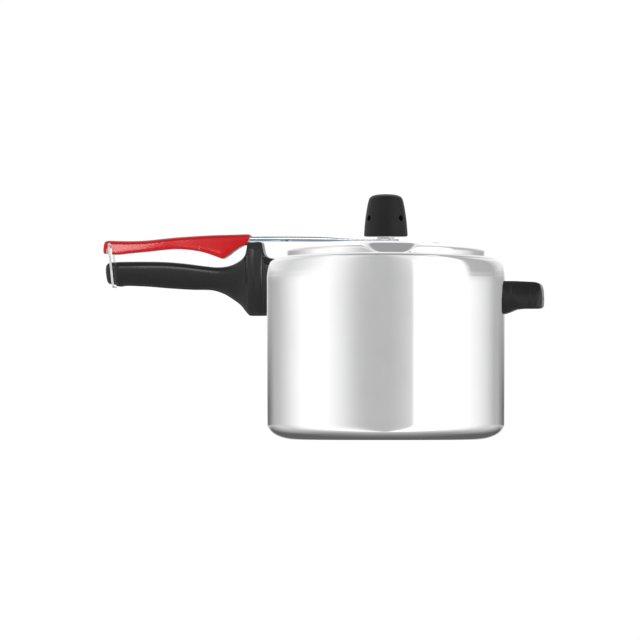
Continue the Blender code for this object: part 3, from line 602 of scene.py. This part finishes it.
# Red grip on the lever, with a hook at its end that holds the bail.
gripHandle = {
    "wireHole": (-234.8, 165.9), "wireWay": 1.35,
    "stations": [
        (-239.8, 163.8, -240.0, 161.0, 9.6), (-239.7, 166.3, -240.0, 159.4, 11.0),
        (-238.9, 168.2, -239.4, 158.3, 12.0), (-237.4, 169.0, -237.8, 157.8, 12.6),
        (-235.0, 169.3, -235.0, 157.5, 12.9), (-228.6, 169.15, -228.6, 157.3, 13.1),
        (-218.0, 168.95, -218.0, 158.4, 13.3), (-202.8, 169.5, -201.0, 160.0, 13.4),
        (-190.0, 170.8, -188.3, 161.4, 13.3), (-178.0, 172.0, -177.3, 162.0, 13.1),
        (-165.0, 172.9, -164.5, 161.0, 13.05), (-152.7, 173.6, -152.7, 158.6, 12.95),
        (-143.5, 174.0, -143.0, 155.2, 12.85), (-138.4, 174.1, -138.2, 153.8, 12.8),
        (-134.5, 174.2, -134.5, 155.9, 12.75), (-129.0, 174.35, -129.0, 160.2, 12.7),
        (-122.6, 174.55, -122.6, 164.0, 12.5), (-118.2, 174.65, -118.4, 165.9, 12.3),
        (-116.0, 174.5, -117.2, 167.2, 12.1), (-114.8, 173.8, -116.6, 168.6, 11.7),
        (-114.4, 172.8, -115.9, 170.2, 11.2)]}


def makeGripHandle():
    bm = handleLoft(gripHandle["stations"], 1.5, 0.7, 1.5)
    made = makeObject("lid_handle_fine", bm)
    # The arch in the hook that the wire swings in.
    arch = [(-237.3, 150.0), (-237.3, 161.0)]
    arch += ellipseArc((-234.85, 161.0), (2.45, 2.4), 180, 0, 16)[1:]
    arch += [(-232.4, 150.0)]
    cut(made, extrudedMesh(arch, 16))
    cut(made, boxMesh((-162.4, -8.35, 168.05), (-118.5, 8.35, 170.35)))
    cut(made, boxMesh((-124.0, -10.35, 165.4), (-110, 10.35, 172.85), 0.8))
    for x in lever["screws"]:
        cut(made, rodMesh((x, 0, 150), (x, 0, 172), lever["screwWay"]))
        cut(made, rodMesh((x, 0, 150), (x, 0, 164.8), lever["screwHeadWay"]))
    x, z = gripHandle["wireHole"]
    cut(made, rodMesh((x, -20, z), (x, 20, z), gripHandle["wireWay"]))
    finishPiece(made, redPhenolic, "lid_lever", 38)


sideHandle = {
    "stations": [
        (92.0, 134.7, 92.0, 105.6, 19.5), (100.0, 134.7, 101.0, 106.6, 19.5),
        (105.0, 134.65, 106.0, 108.2, 20.6), (110.0, 134.6, 110.5, 110.1, 21.8),
        (117.0, 134.3, 117.0, 110.9, 22.6), (124.0, 133.95, 124.0, 111.0, 23.0),
        (128.0, 133.6, 128.5, 111.1, 22.4), (131.3, 132.3, 131.6, 111.5, 20.6),
        (133.2, 129.2, 133.4, 112.8, 17.6), (133.9, 124.0, 134.0, 115.5, 13.0),
        (134.2, 122.5, 134.2, 118.0, 10.0)],
    "front": [(100, 22.0), (112, 23.5), (126.4, 20.4), (127.2, 19.9), (132.4, 15.0),
              (136, 10.5)]}


def makeSideHandle():
    width = interpolated(sideHandle["front"])
    bm = handleLoft(sideHandle["stations"], 1.6, 2.6, 1.5, lambda x, z: width(z))
    made = makeObject("helper_handle_fine", bm)
    cut(made, potClearance())
    cut(made, boxMesh((112, -17, 100), (128, 17, 122), 2.2, 4))
    cut(made, boxMesh((90, -15.5, 110.8), (108.6, 15.5, 127.2), 0.5))
    cut(made, rodMesh((106, 0, 116.5), (118, 0, 116.5), 2.9))
    finishPiece(made, blackPhenolic, "pot", 38)


makeLongHandle()
makeGripHandle()
makeSideHandle()
report("handles")


# Lid: pressed from one sheet: a low crowned platform with a round boss, a notch pressed into
# its front and back edges, a wall, and the flange that carries the gasket under the mouth.
lid = {"radius": 84.0, "top": 167.8, "drop": 6.3, "bossTop": 168.6,
       "sheet": 2.0, "notchFloor": 156.8, "notchHalf": 16.0, "notchSlope": 0.85,
       "notchStart": 60.0, "notchAside": 9.5, "notchFrom": 40.0, "widen": 6.5, "rise": 2.7,
       "plug": (40.0, 50.0), "plugWay": 4.2}


def plugSeat():
    # Where the plug's axis meets the lid's top, and the direction straight out.
    x, y = lid["plug"]
    radius = math.hypot(x, y)
    share = radius / lid["radius"]
    height = (lid["top"] - lid["drop"] * share ** 3
              + lid["rise"] * share ** 3 * (y / radius) ** 2)
    slope = 3 * lid["drop"] * share ** 2 / lid["radius"]
    out = Vector((slope * x / radius, slope * y / radius, 1.0)).normalized()
    return Vector((x, y, height)), out


def lidOutline():
    platform = [(lid["radius"] * share, lid["top"] - lid["drop"] * share ** 3)
                for share in (0.3, 0.42, 0.54, 0.66, 0.76, 0.85, 0.92, 0.965)]
    boss = lid["bossTop"]
    top = smoothLine([(0.0, boss), (17.2, boss), (18.4, 168.4), (19.6, 167.85)], 1.0, 50)
    top += smoothLine([(19.6, 167.85)] + platform, 0.9)[1:]
    edge = smoothLine([top[-1], (82.9, 161.5), (83.8, 160.6), (84.0, 159.4)], 0.3, 60)[1:]
    wall = smoothLine([(84.0, 159.4), (84.0, 148.4), (84.5, 147.0), (85.6, 146.5),
                       (90.2, 146.5)], 1.6, 50)[1:]
    hem = smoothLine([(90.2, 146.5), (90.5, 146.1), (90.5, 144.9), (90.2, 144.5)], 0.4, 60)
    inner = smoothLine([(90.2, 144.5), (82.8, 144.5), (82.0, 145.6), (82.0, 157.4)], 1.6, 50)
    crown = [(r - 1.0 if r > 60 else r, z - lid["sheet"]) for r, z in reversed(top)]
    under = smoothLine([(82.0, 157.4), (81.4, 158.6), crown[0]], 0.4, 60)[1:]
    return top + edge + wall + hem[1:] + inner[1:] + under + crown[1:]


def pressNotch(x, y, height, under):
    # The height of the lid's sheet where the notch's floor and leaning sides press it down;
    # the sheet's underside goes down by as much. The notch at the back mirrors the front one
    # across both axes.
    thick = lid["sheet"] if under else 0.0
    low = lid["notchFloor"] - thick
    if height <= low - 1 or abs(y) <= lid["notchFrom"]:
        return height
    beside = abs(x + math.copysign(lid["notchAside"], y)) - lid["notchHalf"]
    before = lid["notchStart"] - thick - abs(y)
    outside = -softMin(-beside, -before, 9.0) / lid["notchSlope"]
    rise = -softMin(-outside, 0.0, 5.0)
    return softMin(height, low + rise, 2.0)


def makeLid():
    bm = spunMesh(lidOutline(), 400)
    rim = lid["radius"]
    for vert in bm.verts:
        vert.tag = vert.normal.z < -0.2 or (math.hypot(vert.co.x, vert.co.y) < 83 * mm
                                            and abs(vert.normal.z) <= 0.2)
    for vert in bm.verts:
        radius = math.hypot(vert.co.x, vert.co.y) / mm
        if radius < 1e-6:
            continue
        front = (vert.co.y / mm / radius) ** 2
        share = min(1.0, radius / rim)
        out = lid["widen"] * share * front
        vert.co.x *= (radius + out) / radius
        vert.co.y *= (radius + out) / radius
        vert.co.z += lid["rise"] * share ** 3 * front * mm
        x, y, height = vert.co / mm
        vert.co.z = pressNotch(x, y, height, vert.tag) * mm
    bm.normal_update()
    for face in bm.faces:
        face.material_index = 1 if face.verts[0].tag else 0
    made = makeObject("lid_plate_fine", bm)
    made.data.materials.append(aluminium)
    made.data.materials.append(satin)
    cut(made, rodMesh((0, 0, 155), (0, 0, 175), lever["stemWay"]))
    place, out = plugSeat()
    cut(made, rodMesh(place - out * 10, place + out * 10, lid["plugWay"]))
    placePiece(made, "lid_lever", 40)


def makeGasket():
    section = smoothLine([(84.8, 147.3), (87.5, 147.0), (90.4, 146.9), (90.9, 148.6),
                          (90.6, 150.4), (89.4, 151.4), (86.4, 151.4), (85.0, 150.0),
                          (84.8, 147.3)], 0.5, 60)[:-1]
    bm = spunMesh(section, 192, closed=True)
    for vert in bm.verts:
        radius = math.hypot(vert.co.x, vert.co.y) / mm
        front = (vert.co.y / mm / radius) ** 2
        vert.co.x *= (radius + lid["widen"] * front) / radius
        vert.co.y *= (radius + lid["widen"] * front) / radius
        vert.co.z += lid["rise"] * front * mm
    finishPiece(makeObject("lid_gasket_fine", bm), greySilicone, "lid_lever")


makeLid()
makeGasket()
report("lid")


# Lever bar: a strip folded up into a shallow channel that flattens into a tongue.
bar = {"sheet": 1.6,
       "stations": [(-162.0, 168.4, 170.0, 8.0), (-124.0, 168.4, 170.0, 8.0),
                    (-118.6, 168.4, 170.1, 9.2), (-116.8, 168.4, 172.4, 10.0),
                    (-84.0, 168.4, 172.5, 10.0), (-46.0, 168.4, 171.7, 10.0),
                    (-40.0, 168.6, 171.2, 10.0), (-34.0, 168.85, 170.9, 9.8),
                    (-24.0, 168.9, 170.25, 9.4), (-8.0, 168.9, 170.2, 10.3),
                    (0.0, 168.9, 170.2, 11.0), (5.5, 168.9, 170.2, 9.6),
                    (8.6, 168.9, 170.2, 7.0), (10.4, 168.9, 170.2, 4.0),
                    (11.2, 168.9, 170.2, 1.4)]}


def channelRing(x, bottom, top, half):
    # Section of the channel: rounded flanges folded up from a flat floor.
    floor = bottom + min(bar["sheet"], top - bottom)
    inner = half - bar["sheet"]
    rise = (top - bottom) / 2
    bulge = min(1.1, rise * 0.7)
    outside = [(half - bulge * t * t, bottom + rise * (1 + t)) for t in np.linspace(-1, 1, 13)]
    right = outside + [(inner + 0.25, top), (inner, max(top - 0.25, floor)),
                       (inner, min(floor + 0.4, max(top - 0.25, floor))),
                       (inner - 0.5, floor)]
    left = [(-y, z) for y, z in reversed(right)]
    return [(x, y, z) for y, z in right + left]


def makeBar():
    rings = [channelRing(*station) for station in smoothLine(bar["stations"], 2.0, 20)]
    made = makeObject("lid_bar_fine", tubeThrough(rings))
    cut(made, rodMesh((0, 0, 160), (0, 0, 176), lever["stemWay"]))
    for x in lever["screws"]:
        cut(made, rodMesh((x, 0, 160), (x, 0, 176), lever["screwWay"]))
    finishPiece(made, steel, "lid_lever", 40)


def makeNut():
    flats = 12.65
    bottom = 170.5
    top = 174.6
    corner = flats / math.sqrt(3) * mm
    bm = bmesh.new()
    place = Matrix.Translation((0, 0, (bottom + top) / 2 * mm))
    bmesh.ops.create_cone(bm, cap_ends=True, segments=6, depth=(top - bottom) * mm,
                          matrix=place @ Matrix.Rotation(math.pi / 6, 4, 'Z'),
                          radius1=corner, radius2=corner)
    made = makeObject("vent_nut_fine", bm)
    chamfer = spunMesh([(0, 170.4), (6.6, 170.4), (7.5, 171.2), (7.5, 173.9), (6.6, 174.7),
                        (0, 174.7)], 96)
    cut(made, chamfer, 'INTERSECT')
    cut(made, rodMesh((0, 0, 168), (0, 0, 176), lever["stemWay"]))
    finishPiece(made, turnedSteel, "lid_lever")
    roundEdges(made, 0.15, 25)


def makeStem():
    # The thread is turned as fine grooves between the bar and the nut's top.
    threadPitch = 0.9
    outline = [(1.3, 161.6), (7.9, 161.6), (8.3, 162.0), (8.4, 163.6), (8.0, 164.0),
               (4.0, 164.0), (4.0, 170.4)]
    for turn in range(6):
        z = 170.5 + turn * threadPitch
        outline += [(4.0, z), (3.7, z + threadPitch / 2)]
    outline += [(4.0, 176.0), (3.0, 176.8), (3.0, 185.4), (2.8, 186.0), (1.9, 188.0),
                (1.3, 188.0)]
    bm = spunMesh(outline, 64, closed=True)
    made = makeObject("vent_stem_fine", bm)
    finishPiece(made, turnedSteel, "lid_lever", 25)
    ring = smoothLine([(4.4, 164.4), (4.5, 164.3), (8.9, 164.3), (9.0, 164.4), (9.0, 166.1),
                       (8.9, 166.2), (4.5, 166.2), (4.4, 166.1), (4.4, 164.4)], 0.4)[:-1]
    seal = makeObject("vent_stem_seal_fine", spunMesh(ring, 64, closed=True))
    finishPiece(seal, greySilicone, "lid_lever", 40)


def makePlug():
    outline = smoothLine([(0.0, -6.2), (2.2, -6.2), (5.2, -4.9), (5.4, -3.1), (5.1, -2.7),
                          (3.8, -2.6)], 0.4, 40)
    outline += smoothLine([(3.8, 0.5), (5.6, 0.5), (6.0, 0.8), (5.9, 1.25), (4.8, 1.8),
                           (2.4, 1.97), (0.0, 2.0)], 0.4, 40)
    bm = spunMesh(outline, 64)
    place, out = plugSeat()
    turn = out.to_track_quat('Z', 'Y').to_matrix().to_4x4()
    bmesh.ops.transform(bm, matrix=Matrix.Translation(place * mm) @ turn, verts=bm.verts)
    made = makeObject("safety_plug_fine", bm)
    finishPiece(made, redSilicone, "lid_lever", 45)


makeBar()
makeNut()
makeStem()
makePlug()
report("lever and vent")


# Regulating weight: a metal core in a black cover with four side holes.
weight = {"holeZ": 188.0, "holeRadius": 2.5, "holeStart": 11.9,
          "holeTurns": (38, 142, 218, 322)}


def holeAxes():
    # For each side hole, a point on the weight's axis and the way the hole runs from it.
    for turn in weight["holeTurns"]:
        angle = math.radians(turn)
        yield Vector((0, 0, weight["holeZ"])), Vector((math.cos(angle), math.sin(angle), 0))


def inHole(face):
    # Whether a face of the cover is part of a side hole's wall.
    for middle, along in holeAxes():
        offset = face.center / mm - middle
        ahead = offset.dot(along)
        nearAxis = (offset - along * ahead).length < weight["holeRadius"] * 1.05
        if nearAxis and ahead > weight["holeStart"] - 1 and abs(face.normal.dot(along)) < 0.5:
            return True
    return False


def makeWeight():
    outside = smoothLine([(17.2, 172.5), (18.0, 172.7), (18.5, 173.4), (18.5, 175.0),
                          (18.3, 178.0), (17.7, 185.0), (16.8, 192.0), (15.6, 199.0),
                          (14.8, 202.6), (14.2, 204.5), (13.0, 206.1), (10.4, 207.5),
                          (6.4, 208.3), (0.0, 208.7)], 0.7, 50)
    inside = smoothLine([(0.0, 202.0), (12.0, 202.0), (12.6, 201.4), (13.2, 196.0),
                         (14.2, 178.0), (15.6, 173.6), (15.9, 172.7), (16.4, 172.5)], 1.5, 40)
    made = makeObject("weight_cover_fine", spunMesh(outside + inside, 160, closed=False))
    cover = bmesh.new()
    cover.from_mesh(made.data)
    bmesh.ops.holes_fill(cover, edges=[e for e in cover.edges if e.is_boundary], sides=0)
    cover.to_mesh(made.data)
    cover.free()
    for middle, along in holeAxes():
        start = middle + along * weight["holeStart"]
        cut(made, rodMesh(start, middle + along * 22, weight["holeRadius"], 32))
    finishPiece(made, weightPhenolic, "vent_weight", 40)
    # The side holes' walls take the near-black colour: painted shade in the holes.
    made.data.materials.append(holeShadePhenolic)
    for face in made.data.polygons:
        face.material_index = int(inHole(face))


makeWeight()
report("weight")


# Wire bail: two legs, a foot bar and two ends bent into the grip.
bail = {"radius": 0.95, "top": gripHandle["wireHole"], "foot": (-231.2, 130.1), "half": 16.6,
        "bend": 4.0, "reach": 7.0}


def makeBail():
    top = Vector((bail["top"][0], 0, bail["top"][1]))
    foot = Vector((bail["foot"][0], 0, bail["foot"][1]))
    along = (foot - top).normalized()
    across = Vector((0, 1, 0))
    bend = bail["bend"]

    def corner(point, first, second):
        return [point + first * bend * (1 - math.sin(t)) + second * bend * (1 - math.cos(t))
                for t in np.linspace(0, math.pi / 2, 13)]

    half = bail["half"]
    path = [top - across * bail["reach"]]
    path += corner(top - across * half, across, along)
    path += corner(foot - across * half, -along, across)
    path += corner(foot + across * half, -across, -along)
    path += corner(top + across * half, along, -across)
    path += [top + across * bail["reach"]]
    normal = along.cross(across)
    rings = []
    for index, point in enumerate(path):
        before = path[max(index - 1, 0)]
        after = path[min(index + 1, len(path) - 1)]
        forward = (after - before).normalized()
        side = normal.cross(forward)
        rings.append([tuple(point + bail["radius"] * (normal * math.cos(t)
                                                      + side * math.sin(t)))
                      for t in np.linspace(0, math.tau, 20, endpoint=False)])
    made = makeObject("latch_bail_fine", tubeThrough(rings))
    finishPiece(made, wire, "bail", 50)


makeBail()
report("bail")

# Pieces whose shape is right already keep it and take a finer finish.
for name in ("pot_handle_bracket", "helper_bracket", "pot_handle_screw", "pot_handle_nut",
             "helper_screw", "lid_handle_screw_1", "lid_handle_screw_2"):
    nodes[name].material_slots[0].material = zinc
# The core and ring behind the weight's holes take the near-black colour: painted shade.
for name in ("weight_core", "weight_ring"):
    nodes[name].material_slots[0].material = holeShadeSteel
for name in ("pot_handle_rivet_1", "pot_handle_rivet_2", "helper_rivet_1", "helper_rivet_2"):
    nodes[name].material_slots[0].material = rivetMetal


# Only the pot and the lid show in reflections, so that the buffed wall doesn't mirror the
# black and red pieces that stand close to it.
for made in list(scene.objects):
    if made.type == 'MESH' and not made.name.startswith(("pot_body", "lid_plate")):
        made.visible_glossy = False


# Studio: a pale floor and back that only the camera sees, a soft surround whose brightness
# changes with direction and gives the pot its bands, two dark cards, and two soft lights that
# fall only on the handles and the bar. Lengths are in metres, angles in degrees.
studio = {"turn": 4.5, "distance": 8.0, "eye": 0.035, "pictureWidth": 0.5434,
          "aimAside": -0.0559, "aimHeight": 0.1017, "pale": 1.02,
          "overFront": 0.50, "zenith": 0.36, "rearFloor": 0.70,
          "card": (0.34, -0.01, 0.12), "cardTurn": 149, "cardReach": 0.45, "cardGrey": 0.16}
scene.view_settings.view_transform = 'Standard'


def aroundObject(turn, distance, height):
    # A point seen from the object at an angle from the camera's side, towards +X.
    a = math.radians(studio["turn"] + turn)
    return Vector((math.sin(a) * distance, -math.cos(a) * distance, height))


def makeCamera():
    data = bpy.data.cameras.new("camera")
    data.lens = data.sensor_width / studio["pictureWidth"] * studio["distance"]
    data.clip_end = 50
    made = bpy.data.objects.new("camera", data)
    scene.collection.objects.link(made)
    aside = aroundObject(90, studio["aimAside"], 0)
    target = aside + Vector((0, 0, studio["aimHeight"]))
    made.location = aside + aroundObject(0, studio["distance"], studio["eye"])
    made.rotation_euler = (target - made.location).to_track_quat('-Z', 'Y').to_euler()
    scene.camera = made


def areaLight(name, place, size, radiance, target=(0, 0, 0.08)):
    data = bpy.data.lights.new(name, 'AREA')
    data.shape = 'RECTANGLE'
    data.size, data.size_y = size
    data.energy = radiance * math.pi * size[0] * size[1]
    made = bpy.data.objects.new(name, data)
    scene.collection.objects.link(made)
    made.location = place
    made.rotation_euler = (Vector(target) - Vector(place)).to_track_quat('-Z', 'Y').to_euler()
    return made


# How bright the studio is level with the pot, by the angle from the camera towards +X: dim
# in front, a white sheet on the left that fades in, one on the right with a sharp near edge,
# and dim again behind.
studioRing = [(-180, 1.00), (-170, 0.85), (-161, 0.48), (-152, 0.42), (-129, 0.55),
              (-114, 0.75), (-100, 0.98), (-88, 1.15), (-62, 1.15), (-51, 1.00),
              (-43, 0.88), (-35, 0.73), (-27, 0.60), (-19, 0.54), (-10, 0.52), (4, 0.52),
              (12, 0.57), (19, 0.64), (25.6, 0.72), (27.4, 1.30), (80, 1.25), (90, 1.08),
              (101, 0.97), (114, 0.79), (130, 0.50), (154, 0.42), (161, 0.48), (170, 0.85),
              (180, 1.00)]

# The same above the level of the pot: pale, but dim high on the right.
studioHigh = [(-180, 1.05), (-150, 0.90), (-115, 0.72), (-90, 0.85), (-60, 1.10),
              (-30, 0.85), (20, 0.85), (40, 1.15), (84, 1.15), (92, 0.50), (130, 0.46),
              (150, 0.80), (180, 1.05)]


def shadeRamp(tree, value, low, high, stops):
    # A grey that follows (position, brightness) stops as value goes from low to high.
    share = addNode(tree, "ShaderNodeMapRange",
                    {"Value": value, "From Min": low, "From Max": high})
    ramp = addNode(tree, "ShaderNodeValToRGB", {"Fac": share.outputs["Result"]})
    elements = ramp.color_ramp.elements
    while len(elements) > 1:
        elements.remove(elements[0])
    for index, (spot, brightness) in enumerate(stops):
        place = (spot - low) / (high - low)
        element = elements[0] if index == 0 else elements.new(place)
        element.position = place
        element.color = grey(brightness)
    return ramp.outputs["Color"]


def makeWorld():
    world = bpy.data.worlds.new("studio")
    world.use_nodes = True
    tree = world.node_tree
    tree.nodes.clear()
    place = addNode(tree, "ShaderNodeTexCoord").outputs["Generated"]
    turned = addNode(tree, "ShaderNodeMapping",
                     {"Vector": place, "Rotation": (0, 0, -math.radians(studio["turn"]))})
    parts = addNode(tree, "ShaderNodeSeparateXYZ", {"Vector": turned.outputs["Vector"]})
    across, behind, up = (parts.outputs[axis] for axis in "XYZ")
    front = product(tree, behind, -1.0)
    angle = addNode(tree, "ShaderNodeMath", {0: across, 1: front}, operation='ARCTAN2')
    turn = addNode(tree, "ShaderNodeMath", {0: angle.outputs[0]}, operation='DEGREES')
    level = shadeRamp(tree, turn.outputs[0], -180, 180, studioRing)
    high = shadeRamp(tree, turn.outputs[0], -180, 180, studioHigh)
    colour = mixedColour(tree, mapped(tree, up, 0, 1, 0.02, 0.12), level, high)
    overFront = product(tree, mapped(tree, up, 0, 1, 0.52, 0.60),
                        mapped(tree, front, 0, 1, 0.25, 0.40))
    colour = mixedColour(tree, overFront, colour, grey(studio["overFront"]))
    zenith = mapped(tree, up, 0, 1, 0.80, 0.93)
    colour = mixedColour(tree, zenith, colour, grey(studio["zenith"]))
    # Behind the object the floor is paler than the dim level band.
    rear = product(tree, mapped(tree, up, 1, 0, -0.16, -0.06),
                   mapped(tree, behind, 0, 1, 0.25, 0.6))
    colour = mixedColour(tree, rear, colour, grey(studio["rearFloor"]))
    # The table behind the object is dark where it is seen steeply.
    table = shadeRamp(tree, behind, 0, 1, [(0.0, 0.75), (0.09, 0.58), (0.41, 0.30),
                                           (0.75, 0.13), (1.0, 0.12)])
    aside = addNode(tree, "ShaderNodeMath", {0: across}, operation='ABSOLUTE')
    steep = product(tree, mapped(tree, up, 1, 0, -0.20, -0.06),
                    mapped(tree, behind, 0, 1, 0.0, 0.03))
    facing = product(tree, steep, mapped(tree, aside.outputs[0], 1, 0, 0.30, 0.75))
    colour = mixedColour(tree, facing, colour, table)
    background = addNode(tree, "ShaderNodeBackground", {"Color": colour, "Strength": 1.0})
    output = addNode(tree, "ShaderNodeOutputWorld")
    tree.links.new(background.outputs[0], output.inputs["Surface"])
    scene.world = world


def lightOnly(name, pieces, place, size, radiance, target=(0, 0, 0.08)):
    # A soft light that only falls on the pieces named.
    lamp = areaLight(name, place, size, radiance, target)
    lit = bpy.data.collections.new(name + "_on")
    for piece in pieces:
        lit.objects.link(scene.objects[piece])
    lamp.light_linking.receiver_collection = lit
    lamp.visible_camera = False


def plainPaint(name, value):
    made = bpy.data.materials.new(name)
    made.use_nodes = True
    tree = made.node_tree
    tree.nodes.clear()
    glow = addNode(tree, "ShaderNodeEmission", {"Color": grey(value)})
    output = addNode(tree, "ShaderNodeOutputMaterial")
    tree.links.new(glow.outputs[0], output.inputs["Surface"])
    return made


def makeStage():
    bm = bmesh.new()
    bmesh.ops.create_grid(bm, x_segments=1, y_segments=1, size=30.0)
    bmesh.ops.translate(bm, vec=(0, 0, -0.0004), verts=bm.verts)
    floor = makeObject("floor", bm)
    floor.data.materials.append(plainPaint("pale_floor", studio["pale"]))
    bm = bmesh.new()
    bmesh.ops.create_uvsphere(bm, u_segments=48, v_segments=24, radius=25)
    back = makeObject("backdrop", bm)
    back.data.materials.append(plainPaint("pale_backdrop", studio["pale"]))
    for made in (floor, back):
        made.visible_glossy = False
        made.visible_diffuse = False
        made.visible_shadow = False
        made.visible_transmission = False


def fadingPaint(name, value):
    # A grey that thins out to nothing at the card's upper edge and at its two sides.
    made = plainPaint(name, value)
    tree = made.node_tree
    glow = tree.nodes["Emission"]
    output = tree.nodes["Material Output"]
    place = addNode(tree, "ShaderNodeTexCoord").outputs["Object"]
    parts = addNode(tree, "ShaderNodeSeparateXYZ", {"Vector": place})
    aside = addNode(tree, "ShaderNodeMath", {0: parts.outputs["X"]}, operation='ABSOLUTE')
    share = product(tree, mapped(tree, aside.outputs[0], 1, 0, 0.05, 0.5),
                    mapped(tree, parts.outputs["Y"], 1, 0, -0.2, 0.5))
    clear = addNode(tree, "ShaderNodeBsdfTransparent")
    mix = addNode(tree, "ShaderNodeMixShader", {0: share})
    tree.links.new(clear.outputs[0], mix.inputs[1])
    tree.links.new(glow.outputs[0], mix.inputs[2])
    tree.links.new(mix.outputs[0], output.inputs["Surface"])
    return made


def makeDarkCards():
    # Low dark cards behind the pot on both sides: the foot of the wall mirrors them at its
    # left and right edges.
    width, bottom, top = studio["card"]
    for side in (-1, 1):
        bm = bmesh.new()
        bmesh.ops.create_grid(bm, x_segments=1, y_segments=1, size=0.5)
        made = makeObject("dark_card", bm)
        made.data.materials.append(fadingPaint("dark_card", studio["cardGrey"]))
        made.location = aroundObject(side * studio["cardTurn"], studio["cardReach"],
                                     (bottom + top) / 2)
        facing = Vector((made.location.x, made.location.y, 0))
        made.rotation_euler = facing.to_track_quat('Z', 'Y').to_euler()
        made.scale = (width, top - bottom, 1)
        made.visible_camera = False
        made.visible_diffuse = False
        made.visible_shadow = False


makeCamera()
makeWorld()
makeStage()
makeDarkCards()
lightOnly("shoulder_light", ("pot_handle_fine", "lid_bar_fine"),
          aroundObject(0, 1.6, 1.35), (1.3, 0.45), 6.0)
lightOnly("grip_light", ("lid_handle_fine",), (-0.325, -0.60, 0.19), (0.13, 0.40), 10.0,
          (-0.23, 0, 0.165))
report("studio")
